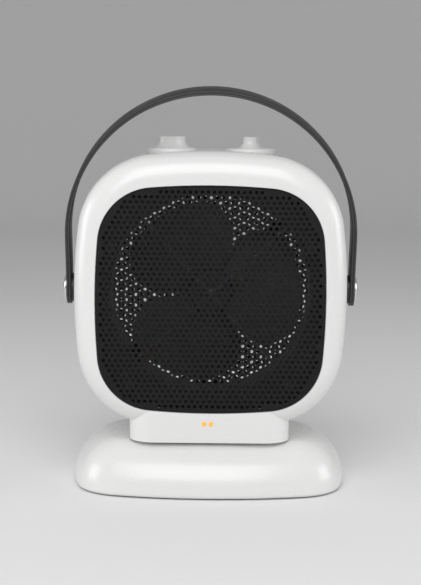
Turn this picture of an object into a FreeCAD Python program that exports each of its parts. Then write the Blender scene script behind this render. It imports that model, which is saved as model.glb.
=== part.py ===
import FreeCAD, Part
import math
import os

# Portable fan heater: a rounded-square head that swivels on a pillow-shaped base, with a strap handle.
# Frame: millimetres, origin on the floor under the swivel axis, front faces -Y, right is +X, +Z up.

# Clearances used throughout
press_gap = 0.05            # radial play of a screw, pin or shaft in its hole
seat_gap = 0.3              # play of a loose piece in its pocket
lid_gap = 0.4               # play round a plate or cover let into a shell
sink_in = 1.0               # how far a boss is sunk into the wall that carries it

# Head casing
head_width = 232.8
head_height = 237.2
head_depth = 125.0
head_corner = 69.2
head_crown = 2.7            # bulge of each side of the outline
head_edge = 20.0            # rounding of the front and rear edges
inner_edge = 10.0           # rounding inside the front edge
axis_drop = 2.6             # fan and handle axes below the centre of the head
seam_width = 0.8            # groove round the joint of the two shells
seam_depth = 0.5
head_wall = 2.6
rear_wall = 3.4
rear_split = 26.5           # depth of the rear cover
rear_lip = 5.0              # tongue of the rear cover inside the front housing
lip_wall = 1.6

# Neck under the head
neck_width = 137.4
neck_back = 34.0
neck_corner = 22.0
neck_height = 9.5           # from the head's lowest line to the neck's underside
neck_floor = 3.0
neck_setback = 0.4          # neck front behind the bezel front
swivel_gap = 1.5            # seam between neck and base

# Front grille
grille_width = 194.6
grille_height = 193.0
grille_corner = 48.0
grille_crown = 2.0
grille_drop = 6.1           # centre of the grille below the centre of the head
grille_recess = 2.0
grille_sheet = 1.0
ledge_width = 2.5
ledge_thick = 3.0
hole_dia = 3.0
hole_pitch = 5.0
grille_border = 2.5         # plain rim outside the holes

# Rear grille, with the outline of the front one
vent_recess = 0.8

# Rear cover screws
cover_screw_inset = 8.5     # screw axis inside the outline, on the corner's diagonal
cover_boss_radius = 6.5
cover_boss_length = 24.0
cover_screw_sink = 12.5     # seat of the screw head in front of the cover's rear face

# Controls on top of the head
knob_spacing = 68.0
knob_dia = 44.0
knob_pocket_depth = 5.5
knob_rise = 1.8             # disc face above the crest of the head
knob_float = 0.4            # disc above its pocket's floor
pad_floor = 3.5
pad_rim = 2.5
knob_play = 0.6             # disc inside its pocket
grip_length = 24.0
grip_width = 12.0
grip_height = 10.3
grip_flare = 7.0
grip_round = 1.5
disc_round = 2.5
mode_knob_turn = 60.0
thermostat_knob_turn = -8.0
control_shaft_dia = 6.0
bush_dia = 9.0
bush_rise = 2.3             # bush above the pocket floor
control_nut_width = 14.0
control_nut_height = 2.0
switch_dia = 30.0
switch_height = 19.5
thermostat_size = (30.0, 24.0, 16.5)
tab_size = (4.8, 0.8, 6.0)
tab_spread = 8.0
knob_hollow = 26.0
knob_skin = 2.4
shaft_depth = 12.0          # control shaft inside its switch
shaft_cover = 3.0           # skin of the grip over the control shaft

# Handle
strap_width = 27.0
strap_thick = 4.0
strap_tail = 14.5           # strap end below the pivot
strap_straight = 13.0       # straight stretch above the pivot
strap_arch = 124.3          # radius of the arch at mid thickness
strap_rise = 50.3           # arch centre above the pivot
strap_boss_proud = 2.3
strap_boss_dia = 26.0
washer_thick = 3.0
washer_dia = 25.0
handle_lean = 10.0
pivot_shoulder_dia = 7.9
pivot_shank_dia = 5.0
pivot_flange_dia = 13.0
pivot_flange_thick = 1.2
pivot_boss_width = 14.0
pivot_boss_length = 12.5
rivet_dia = 23.0
rivet_height = 3.7
rivet_hollow = 14.0
rivet_hollow_depth = 1.7

# Fan
ring_bore = 171.0
ring_wall = 2.5
ring_length = 51.5
shroud_plate = 2.0
shroud_rim = 1.5
shroud_rim_height = 6.5
post_dia = 9.0
stud_dia = 4.0
stud_base_dia = 7.0
stud_base = 0.8
stud_tail = 3.6             # stud behind the shroud, for its nut
lower_posts = (67.5, -76.5)  # grille stud places from the fan's axis
upper_posts = (84.5, 40.0)
blade_count = 3
petal_tip = 78.5            # tip from the fan's axis
petal_corner = 28.0
petal_span = 116.0          # between the straight edges at the hub
petal_turn = 4.5
blade_thick = 1.8
blade_pitch = 13.0
blade_camber = 180.0
hub_dia = 40.0
hub_length = 28.0
hub_round = 5.0
fan_clearance = 4.5         # hub rear face in front of the ring's rear face
blade_set = 21.0            # middle of the blades in front of the hub's rear face
shaft_dia = 6.0
hub_nut_dia = 12.0
hub_nut_height = 3.5

# Motor and its bridge
bridge_angle = 42.0
bridge_width = 14.0
bridge_thick = 2.5
bridge_screw_reach = 91.0
bridge_nose_dia = 18.0
bridge_hub_dia = 30.0
lug_dia = 10.0
lug_length = 15.0
motor_dia = 52.0
motor_length = 26.0
motor_skin = 1.0
cap_thick = 4.0
ear_reach = 32.0
ear_dia = 10.0
bearing_dia = 14.0
stator_length = 16.0
stator_bore = 28.4
winding_wall = 7.5
winding_gap = 1.5
rotor_gap = 0.5

# Heating element
coil_start = 32.0           # radius of the first half turn
coil_step = 4.0             # growth of radius at each half turn
coil_half_turns = 11
coil_wire = 1.2
mica_depth = 11.0
mica_thick = 1.0
mica_from_plate = 1.0
coil_seat = 1.8             # coil axis behind the front edge of the mica
notch_width = 2.2
terminal_lead = 5.0
terminal_width = 6.0
terminal_post = 4.0
terminal_foot = 3.0
cutout_dia = 14.0
cutout_height = 6.0
cutout_place = (-64.0, 72.0)

# Indicator lamps
lamp_dia = 4.0
lamp_spacing = 5.9
lamp_shift = -1.5
lamp_height = 16.2          # lamp axis above the underside of the neck
lamp_proud = 0.5
lamp_flange = 1.0
board_size = (26.0, 9.0, 1.6)
board_standoff = 3.0
board_screw_spacing = 19.0
standoff_dia = 4.4

# Swivel
post_outer = 40.0
post_inner = 28.0
post_flange_dia = 58.0
post_flange = 3.0
post_screw_circle = 49.0
post_bottom_z = 30.0
bearing_outer = 46.0
bearing_flange_dia = 60.0
bearing_flange = 1.2
bearing_length = 8.0
retainer_dia = 49.0
retainer_thick = 2.5
retainer_gap = 0.5
groove_depth = 1.5
arm_thick = 3.0
arm_width = 16.0
arm_screw_circle = 33.0
arm_screw_depth = 6.0       # arm screws inside the swivel post
arm_hole_depth = 9.0
crank_offset = 36.0
crank_throw = 20.65
crank_thick = 2.5
crank_gap = 1.0
crank_pin_dia = 4.0
crank_swing = 87.0
slot_play = 1.0             # play of the crank pin each side of its slot
gearbox_dia = 48.0
gearbox_height = 16.5
gearbox_shaft_dia = 5.0
gearbox_ear_dia = 11.0
gearbox_ear_out = 4.0       # ear screw outside the gearbox

# Base
base_width = 237.0
base_length = 170.0
base_corner = 45.0
base_crown = 4.0            # bulge of the left and right sides
base_end_crown = 8.0        # bulge of the front and rear
base_top_z = 43.0
base_bottom_z = 1.2
base_top_edge = 37.0
base_bottom_edge = 3.0
base_wall = 2.8
base_rim = 7.3
base_rim_height = 4.5
plate_thick = 4.0
base_boss_place = (88.0, 20.0)
base_boss_dia = 9.0
foot_place = (80.0, 42.0)
foot_round = 1.0
foot_dia = 16.0
foot_recess = 1.2
weight_size = (110.0, 40.0, 7.0)
weight_front = -68.0
weight_screw_spacing = 90.0
tip_switch_size = (22.0, 16.0, 18.0)
tip_switch_place = (-50.0, 8.0)
terminal_block_size = (30.0, 14.0, 12.0)
terminal_block_place = (42.0, 62.0)
gland_height = 15.0
gland_bore = 7.2
gland_dia = 13.0
gland_flange_dia = 18.0
gland_flange = 2.5
gland_seat = 8.0            # flat seat of the gland inside the base's rear line
gland_back = 0.5            # gland end inside the base's rear line

# Screws: shank diameter, head diameter, head height
small_screw = (3.0, 5.6, 1.8)
fine_screw = (2.4, 4.6, 1.8)
board_screw = (2.0, 4.0, 1.2)

# Derived places
neck_bottom_z = base_top_z + swivel_gap
head_z = neck_bottom_z + neck_height + head_height / 2
head_top_z = head_z + head_height / 2
front_y = -head_depth / 2
back_y = head_depth / 2
split_y = back_y - rear_split
axis_z = head_z - axis_drop
grille_z = head_z - grille_drop
grille_front_y = front_y + grille_recess
grille_back_y = grille_front_y + grille_sheet
ledge_back_y = grille_back_y + ledge_thick
plate_front_y = ledge_back_y + shroud_rim_height
plate_back_y = plate_front_y + shroud_plate
ring_back_y = plate_front_y + ring_length
hub_back_y = ring_back_y - fan_clearance
hub_front_y = hub_back_y - hub_length
bridge_back_y = ring_back_y + bridge_thick
mica_front_y = plate_back_y + mica_from_plate
mica_back_y = mica_front_y + mica_depth
coil_y = mica_front_y + coil_seat
can_front_y = bridge_back_y + cap_thick
can_back_y = can_front_y + motor_length
neck_front_y = front_y + neck_setback
floor_z = neck_bottom_z + neck_floor
lamp_z = neck_bottom_z + lamp_height
pocket_z = head_top_z - knob_pocket_depth
pad_z = pocket_z - pad_floor
disc_top_z = head_top_z + knob_rise
knob_top_z = disc_top_z + grip_height
strap_boss_x = head_width / 2 + strap_boss_proud
strap_seat_x = strap_boss_x + washer_thick
strap_inner_x = strap_seat_x + seat_gap
strap_outer_x = strap_inner_x + strap_thick
plate_top_z = base_bottom_z + plate_thick
shell_under_z = base_top_z - base_wall
bearing_top_z = base_top_z + bearing_flange
bearing_bottom_z = base_top_z - bearing_length
retainer_top_z = bearing_bottom_z - retainer_gap
retainer_z = retainer_top_z - retainer_thick
arm_z = post_bottom_z - arm_thick
crank_top_z = arm_z - crank_gap
crank_z = crank_top_z - crank_thick
gland_seat_y = base_length / 2 - gland_seat

X_AXIS = FreeCAD.Vector(1, 0, 0)
Y_AXIS = FreeCAD.Vector(0, 1, 0)
Z_AXIS = FreeCAD.Vector(0, 0, 1)
QUADRANTS = [(1, 1), (-1, 1), (-1, -1), (1, -1)]
SIDES = (-1, 1)


def vec(x, y, z):
    return FreeCAD.Vector(x, y, z)


def rod_x(radius, y, z, x0, x1):
    return Part.makeCylinder(radius, abs(x1 - x0), vec(min(x0, x1), y, z), X_AXIS)


def rod_y(radius, x, z, y0, y1):
    return Part.makeCylinder(radius, y1 - y0, vec(x, y0, z), Y_AXIS)


def rod_z(radius, x, y, z0, z1):
    return Part.makeCylinder(radius, z1 - z0, vec(x, y, z0), Z_AXIS)


def block(x0, x1, y0, y1, z0, z1):
    return Part.makeBox(x1 - x0, y1 - y0, z1 - z0, vec(x0, y0, z0))


def standing_box(size, place, z):
    """Box of the given size centred on a place, standing on height z."""
    x, y = place
    return block(x - size[0] / 2, x + size[0] / 2, y - size[1] / 2, y + size[1] / 2, z, z + size[2])


def ring_y(outer, inner, z, y0, y1):
    return rod_y(outer, 0, z, y0, y1).cut(rod_y(inner, 0, z, y0, y1))


def ring_z(outer, inner, x, y, z0, z1):
    return rod_z(outer, x, y, z0, z1).cut(rod_z(inner, x, y, z0, z1))


def joined(first, *others):
    return first.multiFuse(list(others)).removeSplitter()


def group(solids):
    return Part.makeCompound(solids)


def rounded(solid, radius, axis, level):
    """Round the edges that lie wholly in the plane at one level along an axis."""
    near = 1e-4
    edges = [e for e in solid.Edges if all(abs(axis.dot(v.Point) - level) < near for v in e.Vertexes)]
    return solid.makeFillet(radius, edges)


def corner_block(half_width, y0, y1, corner, z0, z1):
    """Upright block, centred across the swivel axis, with rounded vertical corners."""
    solid = block(-half_width, half_width, y0, y1, z0, z1)
    upright = [e for e in solid.Edges if e.tangentAt(e.FirstParameter).isParallel(Z_AXIS, 1e-6)]
    return solid.makeFillet(corner, upright)


def turned_y(solid, angle, z):
    """Turn about the fan axis, anticlockwise as seen from the front."""
    copy = solid.copy()
    copy.rotate(vec(0, 0, z), Y_AXIS, -angle)
    return copy


def screw_down(size, x, y, seat_z, tip_z):
    """Screw with its head on top of seat_z and its tip at tip_z, upright either way."""
    shank, head, height = size
    if tip_z < seat_z:
        return joined(rod_z(shank / 2, x, y, tip_z, seat_z), rod_z(head / 2, x, y, seat_z, seat_z + height))
    return joined(rod_z(shank / 2, x, y, seat_z, tip_z), rod_z(head / 2, x, y, seat_z - height, seat_z))


def screw_forward(size, x, z, seat_y, tip_y):
    """Screw driven towards the front, with its head behind seat_y."""
    shank, head, height = size
    return joined(rod_y(shank / 2, x, z, tip_y, seat_y), rod_y(head / 2, x, z, seat_y, seat_y + height))


def hole_radius(size):
    return size[0] / 2 + press_gap


class Outline:
    """Rounded rectangle whose four sides bulge gently, drawn as eight tangent arcs."""

    def __init__(self, width, height, corner, crown, end_crown):
        self.corner = corner
        self.half_u = width / 2
        self.half_v = height / 2
        self.cu = self.half_u - corner - crown
        self.cv = self.half_v - corner - end_crown
        self.side_angle = 2 * math.atan(crown / self.cv)
        self.top_angle = 2 * math.atan(end_crown / self.cu)
        self.side_radius = corner + self.cv / math.sin(self.side_angle)
        self.top_radius = corner + self.cu / math.sin(self.top_angle)

    def corner_point(self, radius, angle):
        return self.cu + radius * math.cos(angle), self.cv + radius * math.sin(angle)

    def wire(self, inset, place):
        """Closed wire at an inset from the outline, mapped into space by place(u, v)."""
        radius = self.corner - inset
        first = self.side_angle
        last = math.pi / 2 - self.top_angle
        low = self.corner_point(radius, first)
        mid = self.corner_point(radius, (first + last) / 2)
        high = self.corner_point(radius, last)
        side = (self.half_u - inset, 0)
        top = (0, self.half_v - inset)
        arcs = []
        for su, sv in QUADRANTS:
            arcs.append([(su * u, sv * v) for u, v in (low, mid, high)])
        for sign in SIDES:
            arcs.append([(sign * low[0], -low[1]), (sign * side[0], 0), (sign * low[0], low[1])])
            arcs.append([(-high[0], sign * high[1]), (0, sign * top[1]), (high[0], sign * high[1])])
        edges = [Part.Arc(*[place(u, v) for u, v in arc]).toShape() for arc in arcs]
        return Part.Wire(Part.__sortEdges__(edges))

    def holds(self, u, v, inset):
        """True where a point lies inside the outline by at least the inset."""
        u, v = abs(u), abs(v)
        angle = math.atan2(v - self.cv, u - self.cu)
        if self.side_angle <= angle <= math.pi / 2 - self.top_angle:
            return math.hypot(u - self.cu, v - self.cv) <= self.corner - inset
        side = math.hypot(u - self.half_u + self.side_radius, v) <= self.side_radius - inset
        top = math.hypot(u, v - self.half_v + self.top_radius) <= self.top_radius - inset
        return side and top


head_outline = Outline(head_width, head_height, head_corner, head_crown, head_crown)
grille_outline = Outline(grille_width, grille_height, grille_corner, grille_crown, grille_crown)
base_outline = Outline(base_width, base_length, base_corner, base_crown, base_end_crown)


def facing_slab(outline, inset, centre_z, y0, y1):
    """Slab with its outline facing the front, from y0 to y1."""
    wire = outline.wire(inset, lambda u, v: vec(u, y0, centre_z + v))
    return Part.Face(wire).extrude(vec(0, y1 - y0, 0))


def lying_slab(outline, inset, z0, z1):
    """Slab with its outline seen from above, from z0 to z1."""
    wire = outline.wire(inset, lambda u, v: vec(u, v, z0))
    return Part.Face(wire).extrude(vec(0, 0, z1 - z0))


def perforated_sheet(upright_rows, y0, y1):
    """Sheet of the grille's outline with round holes on a triangular lattice inside a plain border."""
    row_pitch = hole_pitch * math.sqrt(3) / 2
    keep_in = grille_border + hole_dia / 2
    reach = max(grille_outline.half_u, grille_outline.half_v)
    rows = int(reach / row_pitch)
    columns = int(reach / hole_pitch) + 1
    wires = [grille_outline.wire(0, lambda u, v: vec(u, y0, grille_z + v))]
    for row in range(-rows, rows + 1):
        shift = hole_pitch / 2 if row % 2 else 0
        for column in range(-columns, columns + 1):
            u, v = column * hole_pitch + shift, row * row_pitch
            if upright_rows:
                u, v = v, u
            if grille_outline.holds(u, v, keep_in):
                circle = Part.Circle(vec(u, y0, grille_z + v), Y_AXIS, hole_dia / 2)
                wires.append(Part.Wire(circle.toShape()))
    return Part.Face(wires).extrude(vec(0, y1 - y0, 0))


# Head casing

def head_envelope():
    """Solid outer form of the head and its neck."""
    head = facing_slab(head_outline, 0, head_z, front_y, back_y)
    head = rounded(head, head_edge, Y_AXIS, front_y)
    head = rounded(head, head_edge, Y_AXIS, back_y)
    neck_top = head_z - head_height / 2 + head_edge + head_wall / 2
    neck = corner_block(neck_width / 2, neck_front_y, neck_back, neck_corner, neck_bottom_z, neck_top)
    return head.fuse(neck)


def head_cavity():
    """Solid inner form of the head and its neck."""
    inner_back_y = back_y - rear_wall
    head = facing_slab(head_outline, head_wall, head_z, ledge_back_y, inner_back_y)
    head = rounded(head, inner_edge, Y_AXIS, ledge_back_y)
    head = rounded(head, head_edge - rear_wall, Y_AXIS, inner_back_y)
    room_top = grille_z - grille_height / 2 - ledge_width
    room = corner_block(neck_width / 2 - head_wall, neck_front_y + head_wall, neck_back - head_wall,
                        neck_corner - head_wall, floor_z, room_top)
    return head.fuse(room)


def seam_groove():
    y0, y1 = split_y - seam_width / 2, split_y + seam_width / 2
    ring = facing_slab(head_outline, -sink_in, head_z, y0, y1)
    return ring.cut(facing_slab(head_outline, seam_depth, head_z, y0, y1))


def cover_screw_places():
    reach = (head_corner - cover_screw_inset) / math.sqrt(2)
    return [(su * (head_outline.cu + reach), head_z + sv * (head_outline.cv + reach)) for su, sv in QUADRANTS]


def knob_places():
    return [(side * knob_spacing / 2, 0.0) for side in SIDES]


def lamp_places():
    return [lamp_shift + side * lamp_spacing / 2 for side in SIDES]


def board_screw_places():
    return [lamp_shift + side * board_screw_spacing / 2 for side in SIDES]


def circle_places(diameter, angles):
    turns = [math.radians(a) for a in angles]
    return [(diameter / 2 * math.cos(t), diameter / 2 * math.sin(t)) for t in turns]


def post_screw_places():
    return circle_places(post_screw_circle, (45, 135, 225, 315))


def arm_screw_places():
    return circle_places(arm_screw_circle, (0, 180, 270))


def front_housing(envelope, shell):
    front_half = block(-head_width, head_width, 2 * front_y, split_y, 0, 2 * head_top_z)
    body = shell.common(front_half)

    # Knob pads, pivot bosses and rear screw bosses stand on the inside of the wall
    pads = [rod_z(knob_dia / 2 + pad_rim, x, y, pad_z, head_top_z) for x, y in knob_places()]
    bosses = []
    for side in SIDES:
        inner_x = side * (strap_boss_x - pivot_boss_length)
        half = pivot_boss_width / 2
        ends = sorted((inner_x, side * (head_width / 2 - sink_in)))
        bosses.append(block(*ends, -half, half, axis_z - half, axis_z + half))
    for x, z in cover_screw_places():
        bosses.append(rod_y(cover_boss_radius, x, z, split_y - cover_boss_length, split_y))
    inside = [piece.common(envelope) for piece in pads + bosses]
    outside = []
    for side in SIDES:
        wall_x = side * (head_width / 2 - head_wall)
        outside.append(rod_x(strap_boss_dia / 2, 0, axis_z, wall_x, side * strap_boss_x))
    wall_y = neck_front_y + head_wall
    standoffs = [rod_y(standoff_dia / 2, x, lamp_z, wall_y - sink_in, wall_y + board_standoff)
                 for x in board_screw_places()]
    body = joined(body, *inside, *outside, *standoffs)

    cuts = [facing_slab(grille_outline, -seat_gap, grille_z, 2 * front_y, grille_back_y),
            facing_slab(grille_outline, ledge_width, grille_z, front_y, ledge_back_y + sink_in),
            seam_groove()]
    for x, y in knob_places():
        cuts.append(rod_z(knob_dia / 2 + knob_play, x, y, pocket_z, head_top_z + knob_dia))
        cuts.append(rod_z(bush_dia / 2 + press_gap, x, y, pad_z, pocket_z))
    for side in SIDES:
        tip_x = side * (strap_boss_x - pivot_boss_length)
        cuts.append(rod_x(pivot_shank_dia / 2 + press_gap, 0, axis_z, tip_x, side * strap_boss_x))
    for x, z in cover_screw_places():
        cuts.append(rod_y(hole_radius(small_screw), x, z, split_y - cover_boss_length + sink_in, split_y))
    for x in lamp_places():
        cuts.append(rod_y(lamp_dia / 2 + press_gap, x, lamp_z, 2 * front_y, wall_y))
    for x in board_screw_places():
        cuts.append(rod_y(hole_radius(board_screw), x, lamp_z, wall_y - sink_in / 2, wall_y + board_standoff))
    cuts.append(rod_z(post_outer / 2 + seat_gap, 0, 0, 0, floor_z))
    for x, y in post_screw_places():
        cuts.append(rod_z(hole_radius(small_screw), x, y, neck_bottom_z, floor_z))
    return body.cut(cuts)


def rear_cover(envelope, shell):
    rear_half = block(-head_width, head_width, split_y, 2 * back_y, 0, 2 * head_top_z)
    body = shell.common(rear_half)
    seat_y = back_y - cover_screw_sink
    bosses = [rod_y(cover_boss_radius, x, z, split_y, back_y).common(envelope) for x, z in cover_screw_places()]
    root = facing_slab(head_outline, head_wall - lip_wall / 2, head_z, split_y, split_y + rear_lip)
    tongue = facing_slab(head_outline, head_wall + seat_gap, head_z, split_y - rear_lip, split_y + rear_lip)
    hollow = facing_slab(head_outline, head_wall + seat_gap + lip_wall, head_z, split_y - rear_lip,
                         split_y + rear_lip)
    lip = root.fuse(tongue).cut(hollow)
    room = [rod_y(cover_boss_radius + seat_gap, x, z, split_y - rear_lip, split_y) for x, z in cover_screw_places()]
    body = joined(body, lip.cut(room), *bosses)
    vent_ledge_y = back_y - vent_recess - grille_sheet
    cuts = [facing_slab(grille_outline, -seat_gap, grille_z, vent_ledge_y, 2 * back_y),
            facing_slab(grille_outline, ledge_width, grille_z, 0, 2 * back_y),
            seam_groove()]
    for x, z in cover_screw_places():
        cuts.append(rod_y(hole_radius(small_screw), x, z, split_y, seat_y))
        cuts.append(rod_y(small_screw[1] / 2 + seat_gap, x, z, seat_y, 2 * back_y))
    return body.cut(cuts)


def rear_cover_screws():
    seat_y = back_y - cover_screw_sink
    tip_y = split_y - cover_boss_length + 2 * sink_in
    return group([screw_forward(small_screw, x, z, seat_y, tip_y) for x, z in cover_screw_places()])


def front_grille():
    return perforated_sheet(False, grille_front_y, grille_back_y)


def rear_grille():
    outer_y = back_y - vent_recess
    return perforated_sheet(True, outer_y - grille_sheet, outer_y)


def grille_post_places():
    places = []
    for side in SIDES:
        for u, v in (lower_posts, upper_posts):
            places.append((side * u, axis_z + v))
    return places


def grille_studs():
    tip_y = plate_back_y + stud_tail
    studs = []
    for x, z in grille_post_places():
        base = rod_y(stud_base_dia / 2, x, z, grille_back_y, grille_back_y + stud_base)
        studs.append(joined(base, rod_y(stud_dia / 2, x, z, grille_back_y, tip_y)))
    return group(studs)


def grille_nuts():
    nuts = []
    for x, z in grille_post_places():
        nut = hex_nut(stud_base_dia, stud_dia, small_screw[2])
        nut.rotate(vec(0, 0, 0), X_AXIS, -90)
        nut.translate(vec(x, plate_back_y, z))
        nuts.append(nut)
    return group(nuts)


def hex_nut(across_flats, thread_dia, height):
    """Hexagon nut standing on the origin, with play on its thread."""
    corner = across_flats / math.sqrt(3)
    points = [vec(corner * math.cos(k * math.pi / 3), corner * math.sin(k * math.pi / 3), 0) for k in range(7)]
    body = Part.Face(Part.makePolygon(points)).extrude(vec(0, 0, height))
    return body.cut(rod_z(thread_dia / 2 + press_gap, 0, 0, 0, height))


# Controls

def control_bush(x, y):
    return rod_z(bush_dia / 2, x, y, pad_z - sink_in, pocket_z + bush_rise)


def shaft_bore(x, y):
    return rod_z(control_shaft_dia / 2 + press_gap, x, y, pad_z - shaft_depth - sink_in, disc_top_z)


def tabs_below(x, y, z):
    return [standing_box(tab_size, (x + k * tab_spread, y), z - tab_size[2]) for k in (-1, 0, 1)]


def mode_switch():
    x, y = knob_places()[0]
    bottom_z = pad_z - switch_height
    body = rod_z(switch_dia / 2, x, y, bottom_z, pad_z)
    return joined(body, control_bush(x, y), *tabs_below(x, y, bottom_z)).cut(shaft_bore(x, y))


def thermostat():
    x, y = knob_places()[1]
    bottom_z = pad_z - thermostat_size[2]
    body = standing_box(thermostat_size, (x, y), bottom_z)
    return joined(body, control_bush(x, y), *tabs_below(x, y, bottom_z)).cut(shaft_bore(x, y))


def control_nuts():
    nuts = []
    for x, y in knob_places():
        nut = hex_nut(control_nut_width, bush_dia, control_nut_height)
        nut.translate(vec(x, y, pocket_z))
        nuts.append(nut)
    return group(nuts)


def knob(place, turn):
    """Round disc with a narrow grip bar that flares into it, hollow underneath."""
    x, y = place
    disc = rod_z(knob_dia / 2, 0, 0, pocket_z + knob_float, disc_top_z)
    disc = rounded(disc, disc_round, Z_AXIS, disc_top_z)
    straight = (grip_length - grip_width) / 2
    bar = block(-grip_width / 2, grip_width / 2, -straight, straight, disc_top_z - sink_in, knob_top_z)
    ends = [rod_z(grip_width / 2, 0, side * straight, disc_top_z - sink_in, knob_top_z) for side in SIDES]
    bar = rounded(joined(bar, *ends), grip_round, Z_AXIS, knob_top_z)
    body = joined(disc, bar)
    foot = [e for e in body.Edges if on_grip_foot(e)]
    body = body.makeFillet(grip_flare, foot)
    hollow = rod_z(knob_hollow / 2, 0, 0, 0, disc_top_z - knob_skin)
    bore = rod_z(control_shaft_dia / 2 + press_gap, 0, 0, 0, control_shaft_top() + press_gap)
    body = body.cut([hollow, bore])
    body.rotate(vec(0, 0, 0), Z_AXIS, turn)
    body.translate(vec(x, y, 0))
    return body


def on_grip_foot(edge):
    """True for the edges where the grip bar stands on its disc."""
    near = 1e-4
    middle = edge.valueAt((edge.FirstParameter + edge.LastParameter) / 2)
    level = all(abs(v.Z - disc_top_z) < near for v in edge.Vertexes) and abs(middle.z - disc_top_z) < near
    return level and math.hypot(middle.x, middle.y) < grip_length / 2 + near


def control_shaft_top():
    return knob_top_z - shaft_cover


def control_shaft(place):
    x, y = place
    return rod_z(control_shaft_dia / 2, x, y, pad_z - shaft_depth, control_shaft_top())


# Handle

def strap_edges(offset):
    """Edges of the strap's side view at an offset from mid thickness, right foot to left foot."""
    foot_x = strap_inner_x + strap_thick / 2
    spread = strap_arch - foot_x
    climb = strap_rise - strap_straight
    bend = 2 * math.atan(spread / climb)
    bend_radius = climb / (2 * math.sin(bend))

    def at(x, height):
        return vec(x, -strap_width / 2, axis_z + height)

    def arc(cx, height, radius, first, last):
        turns = (first, (first + last) / 2, last)
        return [at(cx + radius * math.cos(t), height + radius * math.sin(t)) for t in turns]

    outward = arc(foot_x + bend_radius, strap_straight, bend_radius - offset, math.pi, math.pi - bend)
    upright = arc(strap_arch - bend_radius, strap_rise, bend_radius + offset, -bend, 0)
    arch = arc(0, strap_rise, strap_arch + offset, 0, math.pi)
    left_upright = [vec(-p.x, p.y, p.z) for p in reversed(upright)]
    left_outward = [vec(-p.x, p.y, p.z) for p in reversed(outward)]
    right_foot = at(foot_x + offset, -strap_tail)
    left_foot = vec(-right_foot.x, right_foot.y, right_foot.z)
    edges = [Part.LineSegment(right_foot, outward[0]).toShape()]
    for points in (outward, upright, arch, left_upright, left_outward):
        edges.append(Part.Arc(*points).toShape())
    edges.append(Part.LineSegment(left_outward[-1], left_foot).toShape())
    return edges, right_foot, left_foot


def leaned(solid):
    """Lean a handle piece forward about its pivots."""
    solid.rotate(vec(0, 0, axis_z), X_AXIS, handle_lean)
    return solid


def handle_strap():
    outer, outer_right, outer_left = strap_edges(strap_thick / 2)
    inner, inner_right, inner_left = strap_edges(-strap_thick / 2)
    ends = [Part.LineSegment(outer_right, inner_right).toShape(), Part.LineSegment(outer_left, inner_left).toShape()]
    wire = Part.Wire(Part.__sortEdges__(outer + inner + ends))
    strap = Part.Face(wire).extrude(vec(0, strap_width, 0))
    reach = strap_arch + strap_thick
    round_z = axis_z - strap_tail + strap_width / 2
    above = block(-reach, reach, -strap_width / 2, strap_width / 2, round_z, round_z + 2 * reach)
    strap = strap.common(above.fuse(rod_x(strap_width / 2, 0, round_z, -reach, reach)))
    return leaned(strap.cut(rod_x(pivot_shoulder_dia / 2 + press_gap, 0, axis_z, -reach, reach)))


def rivet_caps():
    """Domed caps over the pivots, hollow over the pivot screws."""
    dome = (rivet_dia ** 2 / 4 + rivet_height ** 2) / (2 * rivet_height)
    caps = []
    for side in SIDES:
        base_x = side * strap_outer_x
        ball = Part.makeSphere(dome, vec(side * (strap_outer_x + rivet_height - dome), 0, axis_z))
        cap = ball.common(rod_x(rivet_dia, 0, axis_z, base_x, base_x + side * rivet_height))
        hollow = rod_x(rivet_hollow / 2, 0, axis_z, base_x, base_x + side * rivet_hollow_depth)
        caps.append(leaned(cap.cut(hollow)))
    return group(caps)


def strap_washers():
    """Washers between the pivot bosses and the strap, held by the shoulders of the pivot screws."""
    hole = rod_x(pivot_shank_dia / 2 + press_gap, 0, axis_z, -strap_seat_x, strap_seat_x)
    return group([rod_x(washer_dia / 2, 0, axis_z, side * strap_boss_x, side * strap_seat_x).cut(hole)
                  for side in SIDES])


def pivot_screws():
    flange_x = strap_outer_x + seat_gap / 2
    tip_x = strap_boss_x - pivot_boss_length + sink_in
    screws = []
    for side in SIDES:
        shank = rod_x(pivot_shank_dia / 2, 0, axis_z, side * tip_x, side * strap_seat_x)
        shoulder = rod_x(pivot_shoulder_dia / 2, 0, axis_z, side * strap_seat_x, side * flange_x)
        flange = rod_x(pivot_flange_dia / 2, 0, axis_z, side * flange_x, side * (flange_x + pivot_flange_thick))
        screws.append(joined(shank, shoulder, flange))
    return group(screws)


# Fan and motor

def along_bridge(distance, angle=bridge_angle):
    turn = math.radians(angle)
    return distance * math.cos(turn), axis_z + distance * math.sin(turn)


def fan_shroud():
    """Tray behind the grille with the fan's ring, grille posts and lugs for the motor bridge."""
    outer = -shroud_rim + sink_in
    plate = facing_slab(grille_outline, outer, grille_z, plate_front_y, plate_back_y)
    rim = facing_slab(grille_outline, outer, grille_z, ledge_back_y, plate_back_y)
    rim = rim.cut(facing_slab(grille_outline, outer + shroud_rim, grille_z, ledge_back_y, plate_back_y))
    ring = rod_y(ring_bore / 2 + ring_wall, 0, axis_z, plate_front_y, ring_back_y)
    post_front_y = grille_back_y + stud_base + seat_gap
    posts = [rod_y(post_dia / 2, x, z, post_front_y, plate_back_y) for x, z in grille_post_places()]
    lugs = []
    for side in SIDES:
        x, z = along_bridge(side * bridge_screw_reach)
        lugs.append(rod_y(lug_dia / 2, x, z, ring_back_y - lug_length, ring_back_y))
    body = joined(plate, rim, ring, *posts, *lugs)
    cuts = [rod_y(ring_bore / 2, 0, axis_z, 2 * front_y, ring_back_y)]
    for x, z in grille_post_places():
        cuts.append(rod_y(stud_dia / 2 + press_gap, x, z, post_front_y, plate_back_y))
    for side in SIDES:
        x, z = along_bridge(side * bridge_screw_reach)
        cuts.append(rod_y(hole_radius(fine_screw), x, z, ring_back_y - lug_length + sink_in, ring_back_y))
    return body.cut(cuts)


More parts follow.
